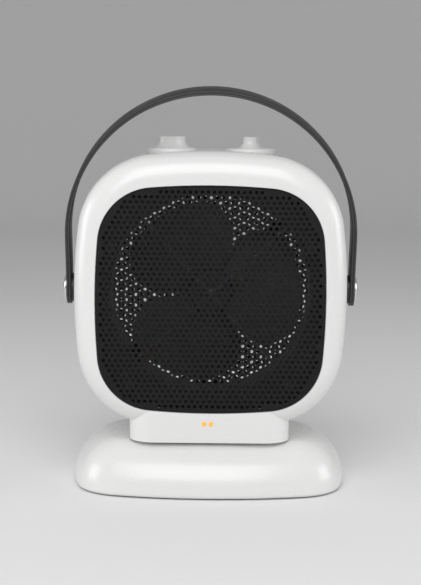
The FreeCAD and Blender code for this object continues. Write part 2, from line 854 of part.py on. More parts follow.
def bridge_bar(reach, width, y0, y1):
    """Flat bar through the fan axis with round ends, lying along the bridge."""
    bar = block(-reach, reach, y0, y1, axis_z - width / 2, axis_z + width / 2)
    ends = [rod_y(width / 2, side * reach, axis_z, y0, y1) for side in SIDES]
    return turned_y(joined(bar, *ends), bridge_angle, axis_z)


def motor_bridge():
    bar = joined(bridge_bar(bridge_screw_reach, bridge_width, ring_back_y, bridge_back_y),
                 rod_y(bridge_hub_dia / 2, 0, axis_z, ring_back_y, bridge_back_y))
    cuts = [rod_y(bridge_nose_dia / 2, 0, axis_z, ring_back_y, bridge_back_y)]
    for side in SIDES:
        for reach, screw in ((bridge_screw_reach, fine_screw), (ear_reach, small_screw)):
            x, z = along_bridge(side * reach)
            cuts.append(rod_y(hole_radius(screw), x, z, ring_back_y, bridge_back_y))
    return bar.cut(cuts)


def bridge_screws():
    tip_y = ring_back_y - lug_length + 2 * sink_in
    places = [along_bridge(side * bridge_screw_reach) for side in SIDES]
    return group([screw_forward(fine_screw, x, z, bridge_back_y, tip_y) for x, z in places])


def motor_screws():
    places = [along_bridge(side * ear_reach) for side in SIDES]
    return group([screw_forward(small_screw, x, z, can_front_y, ring_back_y) for x, z in places])


def motor_front_cap():
    cap = joined(rod_y(motor_dia / 2, 0, axis_z, bridge_back_y, can_front_y),
                 bridge_bar(ear_reach, ear_dia, bridge_back_y, can_front_y))
    cuts = [rod_y(bearing_dia / 2 + press_gap, 0, axis_z, bridge_back_y, can_front_y)]
    for side in SIDES:
        x, z = along_bridge(side * ear_reach)
        cuts.append(rod_y(hole_radius(small_screw), x, z, bridge_back_y, can_front_y))
    return cap.cut(cuts)


def motor_can():
    return ring_y(motor_dia / 2, motor_dia / 2 - motor_skin, axis_z, can_front_y, can_back_y)


def motor_rear_cap():
    return ring_y(motor_dia / 2, bearing_dia / 2 + press_gap, axis_z, can_back_y, can_back_y + cap_thick)


def motor_bearings():
    bore = shaft_dia / 2 + press_gap
    return group([ring_y(bearing_dia / 2, bore, axis_z, y, y + cap_thick) for y in (bridge_back_y, can_back_y)])


def stator_front_y():
    return (can_front_y + can_back_y - stator_length) / 2


def stator_core():
    y = stator_front_y()
    return ring_y(motor_dia / 2 - motor_skin - press_gap, stator_bore / 2, axis_z, y, y + stator_length)


def stator_windings():
    inner = stator_bore / 2 + winding_gap
    front = stator_front_y()
    rear = front + stator_length
    spans = ((can_front_y + winding_gap, front), (rear, can_back_y - winding_gap))
    return group([ring_y(inner + winding_wall, inner, axis_z, y0, y1) for y0, y1 in spans])


def rotor():
    y = stator_front_y()
    return ring_y(stator_bore / 2 - rotor_gap, shaft_dia / 2 + press_gap, axis_z, y, y + stator_length)


def motor_shaft():
    return rod_y(shaft_dia / 2, 0, axis_z, hub_front_y - hub_nut_height, can_back_y + cap_thick + sink_in)


def petal_face(y):
    """Face of one petal along +X: straight edges from the axis, round corners and an arc at the tip."""
    def at(distance, turn):
        return vec(distance * math.cos(turn), y, axis_z + distance * math.sin(turn))

    half = math.radians(petal_span / 2)
    centre = petal_tip - petal_corner
    lean = math.asin(petal_corner / centre)
    corner_turn = half - lean
    edge_end = centre * math.cos(lean)
    corners = []
    for side in SIDES:
        middle = at(centre, side * corner_turn)
        outward = (math.pi / 2 + lean) / 2
        between = middle + (at(petal_corner, side * (corner_turn + outward)) - at(0, 0))
        corners.append((at(edge_end, side * half), between, at(petal_tip, side * corner_turn)))
    (left, left_between, left_tip), (right, right_between, right_tip) = corners
    curves = [Part.LineSegment(at(0, 0), left), Part.Arc(left, left_between, left_tip),
              Part.Arc(left_tip, at(petal_tip, 0), right_tip), Part.Arc(right_tip, right_between, right),
              Part.LineSegment(right, at(0, 0))]
    return Part.Face(Part.Wire([c.toShape() for c in curves]))


def impeller():
    """Hub with broad petal blades: each petal is cut from a pitched, cambered sheet."""
    hub = rod_y(hub_dia / 2, 0, axis_z, hub_front_y, hub_back_y)
    hub = rounded(hub, hub_round, Y_AXIS, hub_front_y)
    pitch = math.radians(blade_pitch)
    middle = vec(0, hub_back_y - blade_set, axis_z)
    centre = middle + vec(0, math.cos(pitch), -math.sin(pitch)) * blade_camber
    start = vec(0, centre.y, centre.z)
    length = petal_tip + hub_dia
    outer = Part.makeCylinder(blade_camber, length, start, X_AXIS)
    sheet = outer.cut(Part.makeCylinder(blade_camber - blade_thick, length, start, X_AXIS))
    front_room = middle.y - blade_camber / 2
    petal = sheet.common(petal_face(front_room).extrude(vec(0, ring_back_y - front_room, 0)))
    blades = [turned_y(petal, petal_turn + k * 360 / blade_count, axis_z) for k in range(blade_count)]
    body = joined(hub, *blades)
    return body.cut(rod_y(shaft_dia / 2 + press_gap, 0, axis_z, hub_front_y, hub_back_y))


def hub_nut():
    nut = hex_nut(hub_nut_dia, shaft_dia, hub_nut_height)
    nut.rotate(vec(0, 0, 0), X_AXIS, -90)
    nut.translate(vec(0, hub_front_y - hub_nut_height, axis_z))
    return nut


# Heating element

def on_element(u, v):
    """Point in the coil's plane, u along the long mica plate."""
    turn = math.radians(bridge_angle)
    return vec(u * math.cos(turn) - v * math.sin(turn), coil_y, axis_z + u * math.sin(turn) + v * math.cos(turn))


def side_of(k):
    return 1 if k % 2 == 0 else -1


def coil_arc(k):
    """Centre offset and radius of one half turn of the coil."""
    return -side_of(k) * coil_step / 2, coil_start + k * coil_step


def coil_crossing(k):
    """Place along the long mica plate where one half turn ends."""
    centre, radius = coil_arc(k)
    return centre - side_of(k) * radius


def coil_point(k, share):
    centre, radius = coil_arc(k)
    turn = (k + share) * math.pi
    return on_element(centre + radius * math.cos(turn), radius * math.sin(turn))


def heating_coil():
    """Flat spiral of wire in half turns that alternate between two centres."""
    last = coil_half_turns - 1
    first_side = coil_point(0, 0)
    first_end = first_side - element_axis() * terminal_lead
    last_side = coil_point(last, 1)
    last_end = last_side + element_axis() * terminal_lead * side_of(coil_half_turns)
    edges = [Part.LineSegment(first_end, first_side).toShape()]
    for k in range(coil_half_turns):
        for share in (0, 0.5):
            points = [coil_point(k, share + part) for part in (0, 0.25, 0.5)]
            edges.append(Part.Arc(*points).toShape())
    edges.append(Part.LineSegment(last_side, last_end).toShape())
    path = Part.Wire(edges)
    section = Part.Wire(Part.Circle(first_end, element_axis(), coil_wire / 2).toShape())
    coil = path.makePipeShell([section], True, False)
    wanted = math.pi * coil_wire ** 2 / 4 * path.Length
    print("coil volume against section times length:", round(coil.Volume / wanted, 4))
    print("least gap of the coil to itself:", round(coil_self_gap(), 3))
    return coil


def coil_self_gap():
    """Least clear distance between neighbouring turns, measured on points."""
    steps = 24
    points = [coil_point(k, s / steps) for k in range(coil_half_turns) for s in range(steps)]
    gap = math.inf
    for i, here in enumerate(points):
        for there in points[i + steps:]:
            gap = min(gap, here.distanceToPoint(there) - coil_wire)
    return gap


def coil_inner_end():
    centre, radius = coil_arc(0)
    return centre + radius


def element_axis():
    """Direction across the long mica plate, in the coil's plane."""
    turn = math.radians(bridge_angle)
    return vec(-math.sin(turn), 0, math.cos(turn))


def element_box(u0, u1, v0, v1, y0, y1):
    """Box laid along the element: u along the long mica plate, v across it."""
    return turned_y(block(u0, u1, y0, y1, axis_z + v0, axis_z + v1), bridge_angle, axis_z)


def mica_reach():
    return ring_bore / 2 - seat_gap


def notch_depth_y():
    return coil_y + coil_wire / 2 + seat_gap


def mica_plate_long():
    half = mica_thick / 2
    plate = element_box(-mica_reach(), mica_reach(), -half, half, mica_front_y, mica_back_y)
    places = [coil_inner_end()] + [coil_crossing(k) for k in range(coil_half_turns)]
    cuts = [element_box(u - notch_width / 2, u + notch_width / 2, -mica_thick, mica_thick, mica_front_y,
                        notch_depth_y()) for u in places]
    lap = half + press_gap
    cuts.append(element_box(-lap, lap, -mica_thick, mica_thick, (mica_front_y + mica_back_y) / 2, mica_back_y))
    return plate.cut(cuts)


def mica_plate_cross():
    half = mica_thick / 2
    plate = element_box(-half, half, -mica_reach(), mica_reach(), mica_front_y, mica_back_y)
    cuts = []
    for k in range(coil_half_turns):
        centre, radius = coil_arc(k)
        v = math.sqrt(radius ** 2 - centre ** 2) * side_of(k)
        cuts.append(element_box(-mica_thick, mica_thick, v - notch_width / 2, v + notch_width / 2, mica_front_y,
                                notch_depth_y()))
    lap = half + press_gap
    cuts.append(element_box(-mica_thick, mica_thick, -lap, lap, mica_front_y, (mica_front_y + mica_back_y) / 2))
    return plate.cut(cuts)


def coil_terminals():
    """Metal posts at the two ends of the coil, each with a foot on the long mica plate."""
    outer_u = coil_crossing(coil_half_turns - 1)
    posts = []
    for u, side in ((coil_inner_end(), -1), (outer_u, side_of(coil_half_turns))):
        near, far = sorted((side * terminal_lead, side * (terminal_lead + terminal_post)))
        foot_near, foot_far = sorted((side * mica_thick / 2, side * terminal_lead))
        half = terminal_width / 2
        post = element_box(u - half, u + half, near, far, mica_front_y, mica_back_y)
        foot = element_box(u - half, u + half, foot_near, foot_far, mica_back_y - terminal_foot, mica_back_y)
        posts.append(joined(post, foot))
    return group(posts)


def thermal_cutout():
    u, v = cutout_place
    can = rod_y(cutout_dia / 2, u, axis_z + v, plate_back_y, plate_back_y + cutout_height)
    back_y_end = plate_back_y + cutout_height
    half = tab_size[0] / 2
    tabs = []
    for side in SIDES:
        x = u + side * cutout_dia / 4
        tabs.append(block(x - tab_size[1] / 2, x + tab_size[1] / 2, back_y_end - sink_in, back_y_end + tab_size[2],
                          axis_z + v - half, axis_z + v + half))
    return joined(can, *tabs)


# Indicator lamps

def indicator_lamps():
    wall_y = neck_front_y + head_wall
    lenses = []
    for x in lamp_places():
        lens = rod_y(lamp_dia / 2, x, lamp_z, neck_front_y - lamp_proud, wall_y)
        lens = rounded(lens, lamp_proud, Y_AXIS, neck_front_y - lamp_proud)
        flange = rod_y(lamp_dia / 2 + lamp_proud, x, lamp_z, wall_y, wall_y + lamp_flange)
        lenses.append(joined(lens, flange))
    return group(lenses)


def lamp_board():
    front = neck_front_y + head_wall + board_standoff
    width, height, thick = board_size
    board = block(lamp_shift - width / 2, lamp_shift + width / 2, front, front + thick,
                  lamp_z - height / 2, lamp_z + height / 2)
    chips = [rod_y(lamp_dia / 4, x, lamp_z, front - board_standoff / 2, front) for x in lamp_places()]
    holes = [rod_y(hole_radius(board_screw), x, lamp_z, front, front + thick) for x in board_screw_places()]
    return joined(board, *chips).cut(holes)


def lamp_board_screws():
    wall_y = neck_front_y + head_wall
    seat_y = wall_y + board_standoff + board_size[2]
    return group([screw_forward(board_screw, x, lamp_z, seat_y, wall_y) for x in board_screw_places()])


# Swivel

def swivel_post():
    flange_top = floor_z + post_flange
    tube = rod_z(post_outer / 2, 0, 0, post_bottom_z, flange_top)
    body = joined(tube, rod_z(post_flange_dia / 2, 0, 0, floor_z, flange_top))
    groove = ring_z(post_outer, post_outer / 2 - groove_depth, 0, 0, retainer_z - press_gap,
                    retainer_top_z + press_gap)
    cuts = [rod_z(post_inner / 2, 0, 0, post_bottom_z, flange_top), groove]
    for x, y in post_screw_places():
        cuts.append(rod_z(hole_radius(small_screw), x, y, floor_z, flange_top))
    for x, y in arm_screw_places():
        cuts.append(rod_z(hole_radius(fine_screw), x, y, post_bottom_z, post_bottom_z + arm_hole_depth))
    return body.cut(cuts)


def post_screws():
    seat_z = floor_z + post_flange
    return group([screw_down(small_screw, x, y, seat_z, neck_bottom_z) for x, y in post_screw_places()])


def swivel_bearing():
    bore = post_outer / 2 + press_gap
    tube = rod_z(bearing_outer / 2, 0, 0, bearing_bottom_z, bearing_top_z)
    flange = rod_z(bearing_flange_dia / 2, 0, 0, base_top_z, bearing_top_z)
    return joined(tube, flange).cut(rod_z(bore, 0, 0, bearing_bottom_z, bearing_top_z))


def retainer_ring():
    inner = post_outer / 2 - groove_depth + press_gap
    ring = ring_z(retainer_dia / 2, inner, 0, 0, retainer_z, retainer_top_z)
    mouth = inner * math.sqrt(2) / 2
    return ring.cut(block(-mouth, mouth, -retainer_dia, 0, retainer_z, retainer_top_z))


def slot_span():
    """Nearest and furthest edge of the crank pin's slot from the swivel axis."""
    swing = math.radians(crank_swing)
    near = math.hypot(crank_throw * math.sin(swing), crank_offset + crank_throw * math.cos(swing))
    room = crank_pin_dia / 2 + slot_play
    return near - room, crank_offset + crank_throw + room


def swing_arm():
    """Arm under the swivel post, with the slot that the crank pin drives."""
    near, far = slot_span()
    width = crank_pin_dia + 2 * slot_play
    tip = far - width / 2
    body = joined(rod_z(post_outer / 2, 0, 0, arm_z, post_bottom_z),
                  block(-arm_width / 2, arm_width / 2, 0, tip, arm_z, post_bottom_z),
                  rod_z(arm_width / 2, 0, tip, arm_z, post_bottom_z))
    cuts = [rod_z(post_inner / 2, 0, 0, arm_z, post_bottom_z),
            block(-width / 2, width / 2, near + width / 2, tip, arm_z, post_bottom_z),
            rod_z(width / 2, 0, near + width / 2, arm_z, post_bottom_z),
            rod_z(width / 2, 0, tip, arm_z, post_bottom_z)]
    for x, y in arm_screw_places():
        cuts.append(rod_z(hole_radius(fine_screw), x, y, arm_z, post_bottom_z))
    return body.cut(cuts)


def arm_screws():
    tip_z = post_bottom_z + arm_screw_depth
    return group([screw_down(fine_screw, x, y, arm_z, tip_z) for x, y in arm_screw_places()])


def oscillation_crank():
    """Driven disc with the pin that swings the head from side to side."""
    disc = rod_z(crank_throw + crank_pin_dia, 0, crank_offset, crank_z, crank_top_z)
    pin_y = crank_offset + crank_throw
    pin = rod_z(crank_pin_dia / 2, 0, pin_y, crank_top_z - sink_in, post_bottom_z - seat_gap)
    return joined(disc, pin).cut(rod_z(gearbox_shaft_dia / 2 + press_gap, 0, crank_offset, crank_z, crank_top_z))


def gearbox_screw_places():
    reach = gearbox_dia / 2 + gearbox_ear_out
    return [(side * reach, crank_offset) for side in SIDES]


def oscillation_motor():
    """Flat geared motor on the base plate, with its shaft through the crank."""
    top_z = plate_top_z + gearbox_height
    can = rod_z(gearbox_dia / 2, 0, crank_offset, plate_top_z, top_z)
    shaft = rod_z(gearbox_shaft_dia / 2, 0, crank_offset, top_z - sink_in, crank_top_z)
    spacer = rod_z(gearbox_shaft_dia, 0, crank_offset, top_z - sink_in, crank_z - seat_gap)
    ears = []
    cuts = []
    for x, y in gearbox_screw_places():
        ears.append(rod_z(gearbox_ear_dia / 2, x, y, plate_top_z, plate_top_z + arm_thick))
        cuts.append(rod_z(hole_radius(small_screw), x, y, plate_top_z, plate_top_z + arm_thick))
    return joined(can, shaft, spacer, *ears).cut(cuts)


def gearbox_screws():
    seat_z = plate_top_z + arm_thick
    return group([screw_down(small_screw, x, y, seat_z, base_bottom_z + sink_in) for x, y in gearbox_screw_places()])


# Base

def four_places(place):
    return [(su * place[0], sv * place[1]) for su, sv in QUADRANTS]


def weight_screw_places():
    middle = weight_front + weight_size[1] / 2
    return [(side * weight_screw_spacing / 2, middle) for side in SIDES]


def base_envelope():
    solid = lying_slab(base_outline, 0, base_bottom_z, base_top_z)
    solid = rounded(solid, base_top_edge, Z_AXIS, base_top_z)
    return rounded(solid, base_bottom_edge, Z_AXIS, base_bottom_z)


def base_shell():
    envelope = base_envelope()
    rim_top = base_bottom_z + base_rim_height
    cavity = lying_slab(base_outline, base_wall, rim_top, shell_under_z)
    cavity = rounded(cavity, base_top_edge - base_wall, Z_AXIS, shell_under_z)
    mouth = lying_slab(base_outline, base_rim, base_bottom_z - sink_in, rim_top + sink_in)
    body = envelope.cut([cavity, mouth])
    bosses = [rod_z(base_boss_dia / 2, x, y, plate_top_z, base_top_z) for x, y in four_places(base_boss_place)]
    rear = rod_y(gland_flange_dia / 2 + lid_gap, 0, gland_height, gland_seat_y, base_length / 2)
    body = joined(body, rear.common(envelope), *[boss.common(envelope) for boss in bosses])
    cuts = [rod_z(bearing_outer / 2 + press_gap, 0, 0, shell_under_z - sink_in, base_top_z),
            rod_y(gland_dia / 2 + press_gap, 0, gland_height, gland_seat_y, base_length)]
    for x, y in four_places(base_boss_place):
        cuts.append(rod_z(hole_radius(small_screw), x, y, plate_top_z, shell_under_z - base_wall))
    return body.cut(cuts)


def base_plate():
    plate = lying_slab(base_outline, base_rim + lid_gap, base_bottom_z, plate_top_z)
    cuts = []
    head = small_screw[2] + press_gap
    for x, y in four_places(base_boss_place):
        cuts.append(rod_z(hole_radius(small_screw), x, y, base_bottom_z, plate_top_z))
        cuts.append(rod_z(small_screw[1] / 2 + seat_gap, x, y, base_bottom_z, base_bottom_z + head))
    for x, y in four_places(foot_place):
        cuts.append(rod_z(foot_dia / 2 + press_gap, x, y, base_bottom_z, base_bottom_z + foot_recess))
    for x, y in weight_screw_places() + gearbox_screw_places():
        cuts.append(rod_z(hole_radius(small_screw), x, y, base_bottom_z + sink_in, plate_top_z))
    return plate.cut(cuts)


def base_screws():
    seat_z = base_bottom_z + small_screw[2] + press_gap
    tip_z = shell_under_z / 2
    return group([screw_down(small_screw, x, y, seat_z, tip_z) for x, y in four_places(base_boss_place)])


def rubber_feet():
    feet = []
    for x, y in four_places(foot_place):
        foot = rod_z(foot_dia / 2, x, y, 0, base_bottom_z + foot_recess)
        feet.append(rounded(foot, foot_round, Z_AXIS, 0))
    return group(feet)


def counterweight():
    middle = weight_front + weight_size[1] / 2
    slab = standing_box(weight_size, (0, middle), plate_top_z)
    holes = [rod_z(hole_radius(small_screw), x, y, plate_top_z, plate_top_z + weight_size[2])
             for x, y in weight_screw_places()]
    return slab.cut(holes)


def weight_screws():
    seat_z = plate_top_z + weight_size[2]
    return group([screw_down(small_screw, x, y, seat_z, base_bottom_z + sink_in) for x, y in weight_screw_places()])


def tip_over_switch():
    body = standing_box(tip_switch_size, tip_switch_place, plate_top_z)
    x, y = tip_switch_place
    top_z = plate_top_z + tip_switch_size[2]
    tabs = [standing_box(tab_size, (x + side * tab_spread / 2, y), top_z) for side in SIDES]
    return joined(body, *tabs)


def terminal_block():
    body = standing_box(terminal_block_size, terminal_block_place, plate_top_z)
    x, y = terminal_block_place
    top_z = plate_top_z + terminal_block_size[2]
    wells = [rod_z(fine_screw[1] / 2, x + k * tab_spread, y, top_z - fine_screw[2], top_z) for k in (-1, 0, 1)]
    return body.cut(wells)


def cord_gland():
    """Bush in the rear wall where the mains lead would enter."""
    end_y = base_length / 2 - gland_back
    front_y_end = gland_seat_y - gland_flange
    tube = rod_y(gland_dia / 2, 0, gland_height, front_y_end, end_y)
    flange = rod_y(gland_flange_dia / 2, 0, gland_height, front_y_end, gland_seat_y)
    return joined(tube, flange).cut(rod_y(gland_bore / 2, 0, gland_height, front_y_end, end_y))


def build():
    envelope = head_envelope()
    shell = envelope.cut(head_cavity())
    left, right = knob_places()
    return {
        "front_housing": front_housing(envelope, shell),
        "rear_cover": rear_cover(envelope, shell),
        "rear_cover_screws": rear_cover_screws(),
        "front_grille": front_grille(),
        "grille_studs": grille_studs(),
        "grille_nuts": grille_nuts(),
        "rear_grille": rear_grille(),
        "fan_shroud": fan_shroud(),
        "mica_plate_long": mica_plate_long(),
        "mica_plate_cross": mica_plate_cross(),
        "heating_coil": heating_coil(),
        "coil_terminals": coil_terminals(),
        "thermal_cutout": thermal_cutout(),
        "motor_bridge": motor_bridge(),
        "bridge_screws": bridge_screws(),
        "motor_front_cap": motor_front_cap(),
        "motor_can": motor_can(),
        "motor_rear_cap": motor_rear_cap(),
        "motor_bearings": motor_bearings(),
        "stator_core": stator_core(),
        "stator_windings": stator_windings(),
        "motor_screws": motor_screws(),
        "impeller": impeller(),
        "hub_nut": hub_nut(),
        "motor_shaft": motor_shaft(),
        "rotor": rotor(),
        "mode_switch": mode_switch(),
        "thermostat": thermostat(),
        "control_nuts": control_nuts(),
        "mode_knob": knob(left, mode_knob_turn),
        "mode_shaft": control_shaft(left),
        "thermostat_knob": knob(right, thermostat_knob_turn),
        "thermostat_shaft": control_shaft(right),
        "indicator_lamps": indicator_lamps(),
        "lamp_board": lamp_board(),
        "lamp_board_screws": lamp_board_screws(),
        "handle_strap": handle_strap(),
        "rivet_caps": rivet_caps(),
        "pivot_screws": pivot_screws(),
        "strap_washers": strap_washers(),
        "swivel_post": swivel_post(),
        "post_screws": post_screws(),
        "swivel_bearing": swivel_bearing(),
        "retainer_ring": retainer_ring(),
        "swing_arm": swing_arm(),
        "arm_screws": arm_screws(),
        "oscillation_crank": oscillation_crank(),
        "oscillation_motor": oscillation_motor(),
        "gearbox_screws": gearbox_screws(),
        "base_shell": base_shell(),
        "base_plate": base_plate(),
        "base_screws": base_screws(),
        "rubber_feet": rubber_feet(),
        "counterweight": counterweight(),
        "weight_screws": weight_screws(),
        "tip_over_switch": tip_over_switch(),
        "terminal_block": terminal_block(),
        "cord_gland": cord_gland(),
    }


os.makedirs("parts", exist_ok=True)
for name, shape in build().items():
    shape.exportStep("parts/" + name + ".step")
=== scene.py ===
import bpy
import bmesh
import math
from mathutils import Matrix, Vector


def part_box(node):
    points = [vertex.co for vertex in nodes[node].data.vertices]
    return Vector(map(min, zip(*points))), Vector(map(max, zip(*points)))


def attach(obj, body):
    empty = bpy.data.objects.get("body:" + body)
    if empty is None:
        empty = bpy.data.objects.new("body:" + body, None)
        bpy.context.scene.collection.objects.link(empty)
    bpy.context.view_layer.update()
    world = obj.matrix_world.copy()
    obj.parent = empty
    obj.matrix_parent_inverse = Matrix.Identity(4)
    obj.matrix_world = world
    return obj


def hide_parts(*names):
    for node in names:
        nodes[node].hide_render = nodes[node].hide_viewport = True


# Portable fan heater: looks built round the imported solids, in metres, front towards -Y.
# The pieces' own values are in millimetres, the camera's and the stage's in metres.

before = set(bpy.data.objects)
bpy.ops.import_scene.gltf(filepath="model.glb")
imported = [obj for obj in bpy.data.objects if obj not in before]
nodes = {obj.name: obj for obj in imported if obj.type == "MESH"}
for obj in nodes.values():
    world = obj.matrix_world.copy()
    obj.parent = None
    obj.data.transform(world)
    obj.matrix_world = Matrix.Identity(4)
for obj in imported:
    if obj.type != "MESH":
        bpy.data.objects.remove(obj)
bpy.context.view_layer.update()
mm = 0.001
print("frame loaded:", len(nodes), "nodes")


def linkNew(name, data):
    piece = bpy.data.objects.new(name, data)
    bpy.context.scene.collection.objects.link(piece)
    return piece


# Camera

cameraSettings = {
    "place": (0.0, -1.275, 0.317),
    "pitchDown": 6.75,          # degrees
    "roll": 0.55,
    "lens": 89.5,
    "sensor": 36.0,
}


def addCamera(s):
    data = bpy.data.cameras.new("photoCamera")
    data.lens = s["lens"]
    data.sensor_width = s["sensor"]
    camera = linkNew("photoCamera", data)
    tilt = Matrix.Rotation(math.radians(90 - s["pitchDown"]), 4, "X")
    roll = Matrix.Rotation(math.radians(s["roll"]), 4, "Z")
    camera.matrix_world = Matrix.Translation(s["place"]) @ tilt @ roll
    bpy.context.scene.camera = camera


addCamera(cameraSettings)
print("camera placed")


# Node and mesh helpers

def meshFrom(name, verts, faces, edges=(), smooth=True):
    mesh = bpy.data.meshes.new(name)
    mesh.from_pydata(verts, list(edges), faces)
    mesh.update()
    if smooth:
        mesh.polygons.foreach_set("use_smooth", [True] * len(mesh.polygons))
    return mesh


def tidyNormals(mesh, reach=1e-7):
    work = bmesh.new()
    work.from_mesh(mesh)
    bmesh.ops.remove_doubles(work, verts=work.verts, dist=reach)
    bmesh.ops.recalc_face_normals(work, faces=work.faces)
    work.to_mesh(mesh)
    work.free()
    mesh.update()


def sharpenByAngle(mesh, degrees):
    mesh.polygons.foreach_set("use_smooth", [True] * len(mesh.polygons))
    mesh.set_sharp_from_angle(angle=math.radians(degrees))


def newTree(name, inputs):
    tree = bpy.data.node_groups.new(name, "GeometryNodeTree")
    tree.interface.new_socket("Geometry", in_out="INPUT", socket_type="NodeSocketGeometry")
    for label, kind, value in inputs:
        socket = tree.interface.new_socket(label, in_out="INPUT", socket_type=kind)
        if value is not None:
            socket.default_value = value
    tree.interface.new_socket("Geometry", in_out="OUTPUT", socket_type="NodeSocketGeometry")
    return tree, tree.nodes.new("NodeGroupInput"), tree.nodes.new("NodeGroupOutput")


def endTree(tree, geometry, source, out):
    realize = tree.nodes.new("GeometryNodeRealizeInstances")
    paint = tree.nodes.new("GeometryNodeSetMaterial")
    tree.links.new(geometry, realize.inputs["Geometry"])
    tree.links.new(realize.outputs["Geometry"], paint.inputs["Geometry"])
    tree.links.new(source.outputs["Finish"], paint.inputs["Material"])
    tree.links.new(paint.outputs["Geometry"], out.inputs["Geometry"])


def grow(name, seedMesh, tree, values):
    carrier = linkNew(name + "Seed", seedMesh)
    grower = carrier.modifiers.new("grow", "NODES")
    grower.node_group = tree
    for item in tree.interface.items_tree:
        if item.item_type == "SOCKET" and item.in_out == "INPUT" and item.name in values:
            grower[item.identifier] = values[item.name]
    ready = carrier.evaluated_get(bpy.context.evaluated_depsgraph_get())
    mesh = bpy.data.meshes.new_from_object(ready)
    mesh.name = name
    carrier.modifiers.remove(grower)
    bpy.data.objects.remove(carrier)
    return linkNew(name, mesh)


def settle(piece, body, slot, *stoodFor):
    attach(piece, body)
    if stoodFor:
        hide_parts(*stoodFor)
    print("piece", piece.name, len(piece.data.polygons), "faces on", body)


# Finishes: shade darkens the patches, and patch and grain are noise scales

finishValues = {
    "white_casing": {"colour": (0.80, 0.80, 0.795), "shade": 0.985, "patch": 9.0,
                     "rough": (0.272, 0.280), "grain": 900.0, "bump": 0.003, "coat": 0.25},
    "grille_black": {"colour": (0.0088, 0.0088, 0.0092), "shade": 0.8, "patch": 60.0,
                     "rough": (0.46, 0.58), "grain": 2600.0, "bump": 0.12, "specular": 0.2},
    "black_plastic": {"colour": (0.020, 0.020, 0.0205), "shade": 0.8, "patch": 30.0,
                      "rough": (0.36, 0.48), "grain": 1500.0, "bump": 0.08},
    "fan_plastic": {"colour": (0.067, 0.067, 0.068), "shade": 0.92, "patch": 30.0,
                    "rough": (0.44, 0.54), "grain": 1500.0, "bump": 0.05},
    "rivet_metal": {"colour": (0.76, 0.755, 0.75), "shade": 0.88, "patch": 160.0,
                    "rough": (0.17, 0.25), "grain": 1800.0, "bump": 0.03, "metallic": 1.0},
    "steel": {"colour": (0.56, 0.57, 0.58), "shade": 0.82, "patch": 70.0,
              "rough": (0.26, 0.42), "grain": 1400.0, "bump": 0.06, "metallic": 1.0},
    "brass": {"colour": (0.20, 0.15, 0.08), "shade": 0.8, "patch": 90.0,
              "rough": (0.38, 0.52), "grain": 1400.0, "bump": 0.05, "metallic": 1.0},
    "copper": {"colour": (0.70, 0.33, 0.17), "shade": 0.75, "patch": 120.0,
               "rough": (0.25, 0.40), "grain": 1600.0, "bump": 0.05, "metallic": 1.0, "coat": 0.4},
    "mica": {"colour": (0.24, 0.20, 0.16), "shade": 0.6, "patch": 150.0,
             "rough": (0.22, 0.5), "grain": 420.0, "bump": 0.25, "coat": 0.3},
    "coil_wire": {"colour": (0.34, 0.31, 0.29), "shade": 0.6, "patch": 45.0,
                  "rough": (0.35, 0.55), "grain": 2200.0, "bump": 0.08, "metallic": 1.0},
    "board": {"colour": (0.035, 0.14, 0.06), "shade": 0.7, "patch": 240.0,
              "rough": (0.32, 0.5), "grain": 1900.0, "bump": 0.12, "coat": 0.2},
    "grey_plastic": {"colour": (0.24, 0.245, 0.25), "shade": 0.88, "patch": 25.0,
                     "rough": (0.38, 0.5), "grain": 1300.0, "bump": 0.10},
    "white_acetal": {"colour": (0.72, 0.71, 0.68), "shade": 0.93, "patch": 25.0,
                     "rough": (0.32, 0.44), "grain": 1100.0, "bump": 0.06},
    "rubber": {"colour": (0.021, 0.021, 0.022), "shade": 0.7, "patch": 80.0,
               "rough": (0.68, 0.85), "grain": 1700.0, "bump": 0.25},
    "iron": {"colour": (0.15, 0.145, 0.14), "shade": 0.65, "patch": 55.0,
             "rough": (0.5, 0.7), "grain": 900.0, "bump": 0.3, "metallic": 1.0},
    "print_grey": {"colour": (0.22, 0.225, 0.23), "shade": 0.85, "patch": 300.0,
                   "rough": (0.45, 0.6), "grain": 3000.0, "bump": 0.05},
}
surfaceValues = {"patchDetail": 4.0, "grainDetail": 3.0, "bumpDepth": 0.0004, "coatRough": 0.12}
ownFinish = {"impeller": "fan_plastic", "hub_nut": "iron"}      # paler petals, a blackened nut
noiseSpan = (0.3, 0.7)          # the part of a noise that is used


def startFinish(name):
    finish = bpy.data.materials.new(name)
    finish.use_nodes = True
    tree = finish.node_tree
    shader = tree.nodes["Principled BSDF"]
    place = tree.nodes.new("ShaderNodeTexCoord")
    return finish, tree, shader, place


def noiseNode(tree, place, scale, detail=2.0):
    cloud = tree.nodes.new("ShaderNodeTexNoise")
    cloud.inputs["Scale"].default_value = scale
    cloud.inputs["Detail"].default_value = detail
    tree.links.new(place.outputs["Object"], cloud.inputs["Vector"])
    return cloud.outputs["Fac"]


def between(tree, value, low, high, span=noiseSpan):
    scale = tree.nodes.new("ShaderNodeMapRange")
    labels = ("From Min", "From Max", "To Min", "To Max")
    for label, number in zip(labels, (*span, low, high)):
        scale.inputs[label].default_value = number
    tree.links.new(value, scale.inputs["Value"])
    return scale.outputs["Result"]


def twoTones(tree, value, dark, light):
    tones = tree.nodes.new("ShaderNodeValToRGB")
    tones.color_ramp.elements[0].position = noiseSpan[0]
    tones.color_ramp.elements[1].position = noiseSpan[1]
    tones.color_ramp.elements[0].color = (*dark, 1.0)
    tones.color_ramp.elements[1].color = (*light, 1.0)
    tree.links.new(value, tones.inputs["Fac"])
    return tones.outputs["Color"]


def addBump(tree, shader, height, strength, distance):
    bump = tree.nodes.new("ShaderNodeBump")
    bump.inputs["Strength"].default_value = strength
    bump.inputs["Distance"].default_value = distance
    tree.links.new(height, bump.inputs["Height"])
    tree.links.new(bump.outputs["Normal"], shader.inputs["Normal"])


